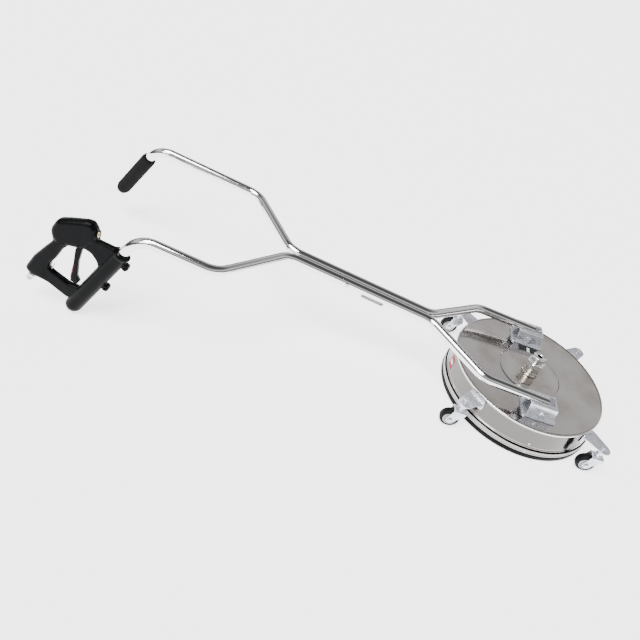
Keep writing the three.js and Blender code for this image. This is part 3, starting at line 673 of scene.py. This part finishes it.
def hexNut(radius, low, high, bore, chamfer=1.2, sides=48):
    corner = radius + 0.01
    half = [(corner - chamfer, -0.1), (corner, chamfer * 0.6)]
    up, down = [(r, low + z) for r, z in half], [(r, high - z) for r, z in half[::-1]]
    limits = lathe([(0, low - 0.5), *up, *down, (0, high + 0.5)], sides)
    nut = solidWith(slab(hexagon(radius), low, high, (), 0.12, 1), [limits], "INTERSECT")
    return solidWith(nut, [cylinder(bore, low - 2, high + 2, sides=sides)]) if bore else nut


def makeSwivel():
    s = swivelSizes
    body = [
        (10, 84.5, 0.3), (14, 84.5, 0.5), (14, s["seat"], 0.2), (s["foot"], s["seat"], 0.4),
        (s["foot"], s["seat"] + 3, 0.8), (s["body"], s["seat"] + 5, 0.8), (s["body"], 111, 0.2),
        (s["body"] - 0.8, 111.8, 0.2), (s["body"] - 0.8, 113.2, 0.2), (s["body"], 114, 0.2),
        (s["body"], 126, 0.8), (16, 126, 0.2), (16, 101.2, 0.2), (10, 101.2, 0.2),
    ]
    settle("swivelHousing", lathe(rounded(body, 0.3, True, 3), 96), "nickel", "deck", "swivel_housing")
    hexPart = hexNut(s["hex"], s["hexLow"], s["hexHigh"], 0, 1.8, 64)
    head = [
        (0, s["hexHigh"] - 3, 0), (s["head"], s["hexHigh"] - 3, 0), (s["head"], s["hexHigh"] + 2, 0.3),
        (s["head"] - 1, s["hexHigh"] + 3, 0.3), (s["head"] - 1, s["hexHigh"] + 5, 0.3),
        (s["head"], s["hexHigh"] + 6, 0.3), (s["head"], s["top"], 1.2), (0, s["top"], 0),
    ]
    inlet = solidWith(hexPart, [lathe(rounded(head, 0.3, False, 3), 96)], "UNION")
    mouth = [(s["bore"], s["top"] - 1.5), (s["bore"] + 2, s["top"] + 0.5), (0, s["top"] + 0.5)]
    bore = lathe([(0, 120), (s["bore"], 120), *mouth], 48)
    spots = [(*arc(0, 0, s["portReach"], a, a, 1)[0], 0) for a in s["portTurns"]]
    ports = [cylinder(s["port"], s["top"] - 8, s["top"] + 1, spot, sides=24) for spot in spots]
    settle("swivelInlet", solidWith(inlet, [bore, *ports]), "chrome", "deck", "swivel_inlet", sharp=28)


spraySizes = {
    "height": 54, "half": 15, "reach": 182, "tube": 6.5, "wall": 1.8, "drop": 14, "bend": 12, "nozzle": 7.5,
    "nozzleLong": 13,
}


def makeSprayBar():
    s = spraySizes
    h, half = s["height"], s["half"]
    hub = block((-half, -half, h - half), (half, half, h + half), 1.5, 3)
    hub = solidWith(hub, [cylinder(7.4, h - 30, h + 30)])
    settle("sprayHub", hub, "zinc", "spray_bar", "spray_hub")
    shaft = turnedRound([(7, h - 18, 0.6), (7, 125.5, 0.4), (4, 125.5, 0.3), (4, h - 18, 0.3)], 0.3, 48)
    settle("swivelShaft", shaft, "ring", "spray_bar", "swivel_shaft")
    for name, angle in (("one", 0), ("two", 180)):
        turn = Matrix.Rotation(math.radians(angle), 4, "Z")
        corners = [Vector((half + 0.3, 0, h)), Vector((s["reach"], 0, h)), Vector((s["reach"], 0, h - s["drop"]))]
        arm = pipe(bent(corners, [s["bend"]]), s["tube"], s["wall"], finishes["ring"], 36)
        settle("sprayArm." + name, arm, "ring", "spray_bar", "spray_arm_" + name, turn)
        top = h - s["drop"] - 0.3
        low = top - s["nozzleLong"]
        tip = turnedRound([(1, low + 0.5), (5.2, low), (7, low + 3), (7, low + 5), (1, low + 5)], 0.5, 40)
        tip = joined(hexNut(s["nozzle"], low + 5.05, top, 1, 0.8, 40), tip)
        tip.transform(shift(s["reach"], 0, 0))
        settle("sprayNozzle." + name, tip, "brass", "spray_bar", "spray_nozzle_" + name, turn)


makeSwivel()
makeSprayBar()
print("swivel and spray bar made")


# ---- casters ----
casterSizes = {
    "reach": (toFrame.inverted() @ (sum(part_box("caster_stem_front_right"), Vector()) / 2)).to_2d().length,
    "trail": 17.5, "axle": 25.4, "tyre": 25.4, "wheelHalf": 10, "hub": 17, "forkIn": 11.2, "forkOut": 13.2,
    "forkTop": 60, "plateLow": 84, "plateHigh": 87, "plateRound": 18, "flangeHalf": 25, "boltHeight": 71,
}
casterCorners = {"front_right": 45, "front_left": 135, "rear_left": 225, "rear_right": 315}


def casterPlate():
    c = casterSizes
    flat = deckSizes["wall"] + 0.3
    half = c["flangeHalf"]
    tip = [(x, y, 0) for x, y in arc(c["reach"], 0, c["plateRound"], -75, 75, 16)]
    outline = rounded([(flat, -half, 0), (flat + 8, -half, 6), *tip, (flat + 8, half, 6), (flat, half, 0)], 0)
    hole = arc(c["reach"], 0, 6.4, 0, 345, 23)
    top = slab(outline, c["plateLow"], c["plateHigh"], (hole,), 0.5, 2)
    flange = slab(rounded([(-92, -half), (-60, -half), (-60, half), (-92, half)], 8), flat, flat + 3, (), 0.5, 2)
    flange = moved(flange, outwards)
    return solidWith(top, [flange], "UNION")


def casterBolt():
    head = joined(
        turnedRound([(0, 0), (7, 0), (7, 0.8), (0, 0.8)], 0.3, 32),
        hexNut(5.6, 0.85, 5, 0, 0.7, 32),
        turnedRound([(0, 5.05), (2.9, 5.05), (2.9, 7), (0, 7.4)], 0.4, 24),
    )
    return moved(head, shift(deckSizes["wall"] + 3.4, 0, casterSizes["boltHeight"]) @ outwards)


def casterStem():
    top = casterSizes["forkTop"]
    plate = casterSizes["plateLow"]
    stud = [
        (0, top - 7, 0.3), (9, top - 7, 0.8), (9, top - 2.4, 0.3), (6, top - 2.4, 0.2), (6, top + 0.4, 0.2),
        (10, top + 0.4, 0.5), (12, top + 5, 1.4), (8, top + 9, 1), (8, plate - 0.3, 0.4), (6, plate - 0.3, 0.2),
        (6, plate + 3.3, 0.2), (0, plate + 3.3, 0),
    ]
    washer = turnedRound([(0, plate + 3.35), (9.8, plate + 3.35), (9.8, plate + 4.5), (0, plate + 4.5)], 0.3, 40)
    dome = turnedRound([(0, plate + 9.3), (5.6, plate + 9.3), (5.2, plate + 10.5), (0, plate + 10.5)], 0.6, 32)
    nut = hexNut(9.4, plate + 4.55, plate + 9.28, 0, 1, 40)
    return joined(lathe(rounded(stud, 0.3, False, 3), 56), washer, nut, dome)


def channelLine(out, inside, low, high, sheet, inner, outer):  # a sheet folded down at both sides
    within = [(-inside, low, 0), (-inside, high - sheet, inner), (inside, high - sheet, inner), (inside, low, 0)]
    return rounded([(-out, low, 0), *within, (out, low, 0), (out, high, outer), (-out, high, outer)], 0)


def casterFork():
    c = casterSizes
    out, inside, top = c["forkOut"], c["forkIn"], c["forkTop"]
    channel = moved(slab(channelLine(out, inside, 10, top, 2, 1.2, 3), -20, 50, (), 0.02, 0), endways)
    back = -c["trail"]
    foot = [(y, z, 0) for y, z in arc(back, c["axle"], 9, 180, 320, 14)]
    side = rounded([(14, top + 3, 0), (-17, top + 3, 0), (-17, top - 2, 8), (back - 9, 29, 6), *foot, (14, 52, 5)], 0)
    trim = moved(slab(side, -20, 20, (), 0.02, 0), sideways)
    fork = solidWith(channel, [trim], "INTERSECT")
    stemHole = cylinder(6.6, 40, 70, sides=36)
    axleHole = cylinder(4.4, -30, 30, (0, back, c["axle"]), xAxis, 32)
    return softEdges(solidWith(fork, [stemHole, axleHole]), 0.35, 2, 40)


def wheelParts():
    c = casterSizes
    half, outer, hub = c["wheelHalf"], c["tyre"], c["hub"]
    edge = [(hub + 0.3, half, 0.4), (outer - 3.4, half, 2.5), (outer, half - 4.5, 4)]
    lip = [
        (4.6, half, 0.3), (8.4, half, 0.6), (8.4, half - 4, 0.6), (hub - 2.6, half - 4, 0.8),
        (hub - 2, half, 0.5), (hub, half, 0.5),
    ]
    tyre, rim = (rounded([*[(r, -z, bend) for r, z, bend in side], *side[::-1]], 1) for side in (edge, lip))
    rib = block((-3.4, -0.8, -half + 1.2), (3.4, 0.8, half - 1.2), 0.3, 2)
    ribs = ringOf(rib, 6, 11.6, finishes["hub"])
    return lathe(tyre, 72), solidWith(lathe(rim, 64), [ribs], "UNION")


def wheelAxle():
    out = casterSizes["forkOut"] + 0.3
    head, nut = hexNut(6.5, out + 0.02, out + 4, 0, 0.8, 32), hexNut(6.5, -out - 3.2, -out - 0.02, 0, 0.7, 32)
    end = turnedRound([(0, -out - 4), (3.4, -out - 4), (3.4, -out - 3.25), (0, -out - 3.25)], 0.3, 24)
    return joined(cylinder(4, -out, out, sides=32), head, nut, end)


def makeCasters():
    c = casterSizes
    tyre, rim = wheelParts()
    plate, bolt, stem, fork, axle = casterPlate(), casterBolt(), casterStem(), casterFork(), wheelAxle()
    for name, angle in casterCorners.items():
        turn = Matrix.Rotation(math.radians(angle), 4, "Z")
        x, y, _ = turn @ Vector((c["reach"], 0, 0))
        wheel = shift(x, y - c["trail"], c["axle"]) @ outwards
        for piece, mesh, finish, body, node, slot, place in (
            ("casterPlate.", plate, "zinc", "deck", "caster_bracket_", "zinc", turn),
            ("casterPlateBolt.", bolt, "zinc", "deck", "", "zinc", turn),
            ("casterStem.", stem, "zinc", "deck", "caster_stem_", "zinc", shift(x, y, 0)),
            ("casterFork.", fork, "zinc", "caster_" + name, "caster_fork_", "zinc", shift(x, y, 0)),
            ("casterAxle.", axle, "zinc", "caster_" + name, "caster_axle_", "zinc", wheel),
            ("wheelHub.", rim, "hub", "wheel_" + name, "caster_hub_", "hub_plastic", wheel),
            ("wheelTyre.", tyre, "tyre", "wheel_" + name, "caster_tyre_", "tyre", wheel),
        ):
            settle(piece + name.replace("_", "-"), mesh.copy(), finish, body, node and node + name, place)


makeCasters()
print("casters made")


# ---- handle ----
handleShape = {
    "pitch": math.radians(6.33), "forkPitch": math.radians(3.46), "forkHalf": 144.5, "forkBend": 189.5,
    "forkSplit": 339, "tubeHalf": 13.25, "seam": 596, "barSplit": 746, "barBend": 883, "barHalf": 194,
    "lean": math.radians(7.1), "leg": math.radians(69.2), "gunCorner": 1068.5, "gripCorner": 1176, "bend": 60,
    "startY": 22.5, "startZ": 124.4, "tube": 12.7, "wall": 1.65,
}
pivotSizes = {"y": 5, "z": 114, "tubeEnd": 7}
backAlong = Vector((0, -math.cos(handleShape["pitch"]), math.sin(handleShape["pitch"])))
upFrom = Vector((0, math.sin(handleShape["pitch"]), math.cos(handleShape["pitch"])))


def onHandle(across, back):
    return Vector((across, handleShape["startY"], handleShape["startZ"])) + backAlong * back


def onArm(side, forward):
    h = handleShape
    ahead = Vector((0, math.cos(h["forkPitch"]), -math.sin(h["forkPitch"])))
    return onHandle(side * h["forkHalf"], h["forkBend"]) + ahead * forward


armReach = (pivotSizes["y"] + pivotSizes["tubeEnd"] - onArm(1, 0).y) / math.cos(handleShape["forkPitch"])


def frameOf(first, second, origin):  # a place whose x and y run along two directions
    return Matrix.Translation(origin) @ Matrix((first, second, first.cross(second))).transposed().to_4x4()


def cornerPlace(side, back):  # x back along the handle, y down the leaning side, z across
    h = handleShape
    down = upFrom * -math.cos(h["lean"]) + Vector((side * math.sin(h["lean"]), 0, 0))
    return frameOf(backAlong, down, onHandle(side * h["barHalf"], back))


legAlong = Vector((math.cos(handleShape["leg"]), math.sin(handleShape["leg"]), 0))


def makeTubes():
    h = handleShape
    join = onHandle(0, h["seam"] - 14)
    bolt = cylinder(3.4, -40, 40, join, xAxis, 32)
    for name, side, back, leg in (("right", 1, h["gunCorner"], 250), ("left", -1, h["gripCorner"], 198)):
        inner = side * h["tubeHalf"]
        lower = [onArm(side, armReach), onArm(side, 0), onHandle(inner, h["forkSplit"]), onHandle(inner, h["seam"])]
        tube = pipe(bent(lower, [h["bend"]] * 2), h["tube"], h["wall"], finishes["chrome"])
        tube = solidWith(tube, [bolt.copy()])
        settle("lowerTube." + name, tube, "chrome", "handle", "lower_tube_" + name)
        corner = cornerPlace(side, back)
        upper = [
            onHandle(inner, h["seam"] + 0.5),
            onHandle(inner, h["barSplit"]),
            onHandle(side * h["barHalf"], h["barBend"]),
            onHandle(side * h["barHalf"], back),
            corner @ (legAlong * leg),
        ]
        tube = pipe(bent(upper, [h["bend"]] * 3), h["tube"], h["wall"], finishes["chrome"])
        plug = placed(lathe([(9, -50), (10.4, -50), (10.4, 12), (9, 12)], 48), upper[0], backAlong)
        settle("upperTube." + name, joined(tube, plug), "chrome", "handle", "upper_tube_" + name)
    head = joined(
        cylinder(3, -26.2, 26.2, sides=32),
        hexNut(5.6, 26.25, 29.6, 0, 0.7, 32),
        turnedRound([(0, -28.6), (4, -28.4), (5.5, -27), (5.5, -26.25), (0, -26.25)], 0.4, 32),
    )
    settle("joinBolt", placed(head, join, xAxis), "zinc", "handle", "join_bolt")


bracketSizes = {
    "half": 25, "sheet": 3, "high": 140, "low": 97.3, "rear": -36, "front": 37, "slotHalf": 13.5,
    "slotFront": 31.3,
}


def makeBrackets():
    b = bracketSizes
    half, sheet, high = b["half"], b["sheet"], b["high"]
    floor = b["low"] + sheet
    base = slab(rounded([(-34, -43), (34, -43), (34, 50), (-34, 50)], 10), b["low"], floor, (), 0.6, 2)
    channel = moved(slab(channelLine(half, half - sheet, 90, high, sheet, 2, 5), -60, 60, (), 0.02, 0), endways)
    rear, front = b["rear"], b["front"]
    back = [(rear, high + 4, 0), (rear, high - 1, 4), (-29, floor - 0.5, 0)]
    ahead = [(41, floor - 0.5, 0), (front + 2, high - 16, 3), (front, high - 1, 4), (front, high + 4, 0)]
    trim = moved(slab(rounded([*back, *ahead], 0), -40, 40, (), 0.02, 0), sideways)
    slot = block((-b["slotHalf"], rear - 20, high - 6), (b["slotHalf"], b["slotFront"], high + 8), 0)
    hole = cylinder(4.4, -60, 60, (0, pivotSizes["y"], pivotSizes["z"]), xAxis, 32)
    shell = solidWith(solidWith(channel, [trim], "INTERSECT"), [slot, hole])
    shell = softEdges(shell, 0.5, 2, 40)
    bracket = solidWith(base, [shell], "UNION")
    runs = [[(way * (half + 0.6), y, floor + 0.6) for y in range(-26, 39, 2)] for way in (1, -1)]
    welds = joined(*[rod(run, 1.4, finishes["zinc"], 10) for run in runs])
    dome = [(0, half + 0.3), (6.4, half + 0.3), (6.2, half + 1.6), (4.4, half + 3.6), (0, half + 4.3)]
    bolt = joined(
        cylinder(4, -half - 0.2, half + 0.2, sides=32),
        turnedRound(dome, 1.4, 40),
        hexNut(6.5, -half - 4.2, -half - 0.3, 0, 0.8, 32),
    )
    inner = half - sheet - 1
    bush = turnedRound([(4.5, -inner), (8, -inner), (8, inner), (4.5, inner)], 0.6, 48)
    for name, way in (("right", 1), ("left", -1)):
        out = way * handleShape["forkHalf"]
        place, pivot = shift(out, 0, 0), Vector((out, pivotSizes["y"], pivotSizes["z"]))
        settle("handleBracket." + name, bracket.copy(), "zinc", "deck", "handle_bracket_" + name, place, 28)
        settle("bracketWelds." + name, welds.copy(), "zinc", "deck", (), place)
        settle("pivotBolt." + name, placed(bolt, pivot, xAxis * way), "zinc", "deck", "pivot_bolt_" + name)
        saddle = placed(block((-8.6, -6.6, 4), (8.6, 6.6, 12), 1), pivot, zAxis)
        lug = joined(placed(bush, pivot, xAxis), saddle)
        settle("pivotLug." + name, lug, "zinc", "handle", "pivot_lug_" + name)


guideSizes = {"middle": 501, "half": 32, "wide": 8, "sheet": 2.5, "low": -28.7, "high": -12.1}


def makeHoseGuide():
    g = guideSizes
    half, low, high, t = g["half"], g["low"], g["high"], g["sheet"]
    outside = [(-half, high, 0.3), (-half, low, 4), (half, low, 4), (half, high, 0.3)]
    inside = [(half - t, high, 0.3), (half - t, low + t, 1.6), (-half + t, low + t, 1.6), (-half + t, high, 0.3)]
    strap = slab(rounded([*outside, *inside], 0.3), -g["wide"], g["wide"], (), 0.5, 2)
    place = frameOf(backAlong, upFrom, onHandle(0, g["middle"]))
    settle("hoseGuide", strap, "ring", "handle", "hose_guide", place)


gripSizes = {"start": 46, "end": 206, "radius": 19, "bore": 12.9}


def makeGrip():
    g = gripSizes
    r, start, end = g["radius"], g["start"], g["end"]
    inside = [(0, end - 6, 0), (g["bore"], end - 6, 0.5), (g["bore"], start, 0.5)]
    outside = [(r - 1.5, start, 2), (r, start + 7, 5), (r, end - 16, 12), (r - 5, end - 2, 7), (0, end, 0)]
    sleeve = placed(lathe(rounded([*inside, *outside], 1, False, 8), 72), (0, 0, 0), legAlong)
    settle("leftGrip", sleeve, "foam", "handle", "left_grip", cornerPlace(-1, handleShape["gripCorner"]))


makeTubes()
makeBrackets()
makeHoseGuide()
makeGrip()
print("handle made")


# ---- trigger gun ----
gunSizes = {
    "half": 15, "frameHalf": 9, "edge": 11, "sleeve": 19.8, "sleeveStart": 58, "sleeveEnd": 271,
    "lugs": (80, 157), "lugOut": 25, "grain": 1.4,
}
gunLines = {  # x back along the handle, y down, and the corner's radius
    "frame": [
        (30, 48, 0), (84, 46, 8), (88, 26, 10), (110, 12, 8), (166, 34, 14), (181, 70, 12), (171, 92, 8),
        (186, 118, 20), (203, 150, 20), (215, 190, 10), (202, 199, 12), (158, 204, 20), (112, 221, 14),
        (84, 224, 0),
    ],
    "window": [
        (100, 80, 10), (84, 84, 12), (68, 98, 16), (62, 110, 6), (90, 184, 3), (112, 185, 6), (154, 171, 6),
        (164, 165, 3), (163, 151, 8), (155, 133, 12), (146, 104, 14), (135, 88, 12),
    ],
    "barrel": [
        (80, 52, 4), (86, 20, 10), (98, 8, 10), (112, 9, 14), (150, 24, 30), (173, 35, 20), (182, 64, 24),
        (169, 94, 20), (135, 88, 6), (100, 80, 6),
    ],
    "pistol": [
        (135, 80, 2), (160, 74, 2), (171, 92, 10), (186, 118, 24), (203, 150, 24), (215, 188, 12),
        (196, 200, 12), (163, 201, 4), (164, 165, 5), (163, 151, 8), (155, 133, 12), (146, 104, 12),
    ],
}
gunPlace = cornerPlace(1, handleShape["gunCorner"])
barrelFrom, barrelTo = Vector((158, 57, 0)), Vector((96, 38.5, 0))
barrelAlong = (barrelTo - barrelFrom).normalized()
inletFrom = Vector((160, 86, 0))
inletAlong = (Vector((196, 197, 0)) - inletFrom).normalized()
triggerPivot = Vector((112, 72, 0))
lockPivot = Vector((158, 181, 0))


def makeGunShells():
    g = gunSizes
    frameLine, window, pistolLine = (rounded(gunLines[part], 0) for part in ("frame", "window", "pistol"))
    barrelLine = rounded(gunLines["barrel"], 0, steps=8)
    parts = [
        slab(frameLine, -g["frameHalf"], g["frameHalf"], (window,), 4.5, 5),
        slab(barrelLine, -g["half"], g["half"], (), g["edge"], 8),
        slab(pistolLine, -g["half"], g["half"], (), g["edge"], 8),
    ]
    r, start, end = g["sleeve"], g["sleeveStart"], g["sleeveEnd"]
    tip = [(x, y, 0) for x, y in arc(0, end - r, r, 0, 84, 12)]
    collar = [(0, start, 0), (r + 1.5, start, 1.5), (r + 1.5, start + 7, 1.5), (r, start + 9, 1)]
    sleeve = placed(lathe(rounded([*collar, *tip, (0, end, 0)], 1, False, 4), 72), (0, 0, 0), legAlong)
    away = Vector((-legAlong.y, legAlong.x, 0))
    spots = [legAlong * d + away * g["lugOut"] for d in g["lugs"]]
    lugs = [placed(turnedRound([(0, -9), (8, -9), (8, 9), (0, 9)], 1.2, 40), spot, zAxis) for spot in spots]
    muzzle = placed(turnedRound([(0, 40), (13.5, 40), (13.5, 80.5), (0, 80.5)], 1.5, 56), barrelFrom, barrelAlong)
    body = moulded(joined(*parts, sleeve, muzzle, *lugs), g["grain"])
    screwSpots = [Vector((172, 60, 0)), Vector((92, 60, 0)), Vector((190, 150, 0)), Vector((128, 200, 0))]
    sleeveRoom, lockRoom = cylinder(13.1, 0, end - 19, (0, 0, 0), legAlong, 56), cylinder(14, -2.7, 2.7, lockPivot)
    holes = [cylinder(2.6, -20, 20, spot) for spot in spots] + [cylinder(3.4, -30, -4.6, spot) for spot in screwSpots]
    rooms = [
        joined(sleeveRoom, lockRoom, *holes),
        cylinder(9.3, -2, 95, barrelFrom, barrelAlong),
        joined(cylinder(5.3, -18, 140, inletFrom, inletAlong), cylinder(2.9, -40, 40, triggerPivot)),
        slab([(98, 62), (122, 60), (146, 84), (140, 100), (98, 96)], -6.3, 6.3, (), 0.02, 0),
    ]
    body = solidWith(body, rooms)
    for name, way in (("right", 1), ("left", -1)):
        low, high = (0.12, 60) if way > 0 else (-60, -0.12)
        half = solidWith(body.copy(), [block((-60, -60, low), (320, 320, high), 0)], "INTERSECT")
        half = cleaned(half)
        settle("gunShell." + name, half, "plastic", "handle", "gun_shell_" + name, gunPlace, 40)
    head = turnedRound([(0, 0), (3.1, 0), (3.1, 1.2), (0, 1.6)], 0.5, 28)
    head = solidWith(head, [block((-0.45, -2, 0.7), (0.45, 2, 3), 0), block((-2, -0.45, 0.7), (2, 0.45, 3), 0)])
    screws = [placed(head, spot - zAxis * 4.7, -zAxis) for spot in screwSpots]
    settle("gunScrews", joined(*screws), "zinc", "handle", (), gunPlace)


triggerLines = {
    "blade": [
        (120, 95, 14), (116, 127, 20), (115, 160, 14), (112, 176, 3), (96, 178, 3), (92, 169, 3), (100, 158, 10),
        (106, 122, 24),
    ],
    "stripe": [
        (112.2, 128, 1.5), (115, 128, 1.5), (114.2, 160, 4), (111.6, 172, 1.5), (109.6, 172, 1.5), (111.4, 158, 4),
    ],
}


def makeGunFittings():
    collar = hexNut(7.5, 0, 5, 4, 0.7, 40)
    nose = [(4, 5.05), (6.2, 5.05), (6.2, 8), (7.4, 9), (7.4, 14), (6.4, 16), (6.4, 19.5), (4, 19.5)]
    outlet = placed(joined(collar, turnedRound(nose, 0.5, 48)), barrelFrom + barrelAlong * 60.4, barrelAlong)
    settle("gunOutlet", outlet, "brass", "handle", "gun_outlet", gunPlace)
    stem = turnedRound([(3, -14), (5, -14), (5, 121.9), (3, 121.9)], 0.3, 40)
    thread = [(7 if z % 2 == 0 else 6.2, z) for z in range(131, 137)]
    neck = turnedRound([(3, 130.1), (7, 130.1), *thread, (6.4, 140), (3, 140)], 0.3, 44)
    inlet = placed(joined(stem, hexNut(9, 122, 130, 3, 1, 40), neck), inletFrom, inletAlong)
    settle("gunInlet", inlet, "zinc", "handle", "gun_inlet", gunPlace)
    eye = [(x, y, 0) for x, y in arc(*triggerPivot.xy, 6, 180, 360, 12)]
    hole = arc(*triggerPivot.xy, 2.9, 0, 340, 17)
    blade = slab(rounded([*eye, *triggerLines["blade"]], 0, steps=6), -6, 6, (hole,), 2.2, 5)
    settle("trigger", blade, "plastic", "trigger", "trigger", gunPlace)
    stripe = slab(rounded(triggerLines["stripe"], 1), -6.25, 6.25, (), 0.3, 2)
    settle("triggerStripe", stripe, "trigger", "trigger", (), gunPlace)
    ends = [Vector(p) for p in ((162, 182, 1.2), (156, 153, 1.2), (156, 153, -1.2), (162, 182, -1.2))]
    catch = joined(rod(bent(ends, [1.1, 1.1], 15), 1.15, finishes["zinc"], 16), cylinder(3.4, -2.4, 2.4, lockPivot))
    settle("triggerLock", catch, "zinc", "trigger_lock", "trigger_lock", gunPlace)


makeGunShells()
makeGunFittings()
for name, finish in (  # the CAD's own inner pieces, which show only through gaps
    ("swivel_bearing_lower", "ring"),
    ("swivel_bearing_upper", "ring"),
    ("swivel_seal", "skirt"),
    ("swivel_nut", "brass"),
    ("gun_valve_block", "brass"),
    ("trigger_pin", "plastic"),
):
    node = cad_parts[name]
    node.data.materials.clear()
    node.data.materials.append(finishes[finish])
print("gun made")


# ---- stage ----
# How bright the sky is by height, from the horizon up, as metal reflects it. The camera sees a plain backdrop.
skyStops = [
    (0.0, 1.6), (0.03, 0.5), (0.07, 0.07), (0.26, 0.1), (0.4, 0.55), (0.56, 0.95), (0.68, 0.45), (0.84, 0.1),
    (1.0, 0.08),
]
stageLooks = {"floorHalf": 30, "floor": (0.93,) * 3, "glow": 2.4, "backdrop": (3.0,) * 3}
lamps = (("above", 4.5, 34, (-0.3, 0.35, -1)), ("side", 1.0, 24, (-1, 0.7, -0.9)))  # name, power, softness, direction


def makeStage():
    s = stageLooks
    work = bmesh.new()
    bmesh.ops.create_grid(work, x_segments=1, y_segments=1, size=s["floorHalf"])
    floor = shown(meshOf(work), "floor")
    glow = {"Emission_Color": (1, 1, 1, 1), "Emission_Strength": s["glow"]}
    pale, _, _ = finishNamed("paleFloor", s["floor"], Roughness=0.9, Specular_IOR_Level=0.1, **glow)
    floor.data.materials.append(pale)
    world = bpy.data.worlds.new("studio")
    world.use_nodes = True
    place = Wire(world.node_tree, None).node("ShaderNodeTexCoord", {}, {}, "Generated")
    height = place.node("ShaderNodeSeparateXYZ", {}, {"Vector": place}, "Z")
    shade = height.node("ShaderNodeValToRGB", {"stops": skyStops}, {"Fac": height})
    seen = place.node("ShaderNodeLightPath", {}, {}, "Is Camera Ray")
    sky = world.node_tree.nodes["Background"].inputs
    world.node_tree.links.new(seen.mixed(shade, s["backdrop"]).socket, sky["Color"])
    sky["Strength"].default_value = 1.0
    bpy.context.scene.world = world
    for name, power, angle, toward in lamps:
        light = bpy.data.lights.new(name, "SUN")
        light.energy, light.angle = power, math.radians(angle)
        lamp = shown(light, name)
        lamp.rotation_euler = Vector(toward).to_track_quat("-Z", "Y").to_euler()


cameraPlace = {
    "at": (1318.9, -679.1, 1101.4), "forward": (-0.8212, 0.0817, -0.5648), "right": (-0.1238, 0.9407, 0.3160),
    "sensor": 36, "lens": 35.156, "shift": (-0.0496, -0.0644),
}


def makeCamera():
    c = cameraPlace
    camera = bpy.data.cameras.new("camera")
    camera.sensor_width, camera.lens = c["sensor"], c["lens"]
    camera.shift_x, camera.shift_y = c["shift"]
    camera.clip_start, camera.clip_end = 0.05, 60
    back = -Vector(c["forward"]).normalized()
    right = Vector(c["right"])
    right = (right - back * right.dot(back)).normalized()
    turn = Matrix((right, back.cross(right), back)).transposed()
    eye = shown(camera, "camera")
    eye.location = toFrame @ Vector(c["at"])
    eye.rotation_mode = "QUATERNION"
    eye.rotation_quaternion = turn.to_quaternion()
    bpy.context.scene.camera = eye


makeStage()
makeCamera()
print("stage made")
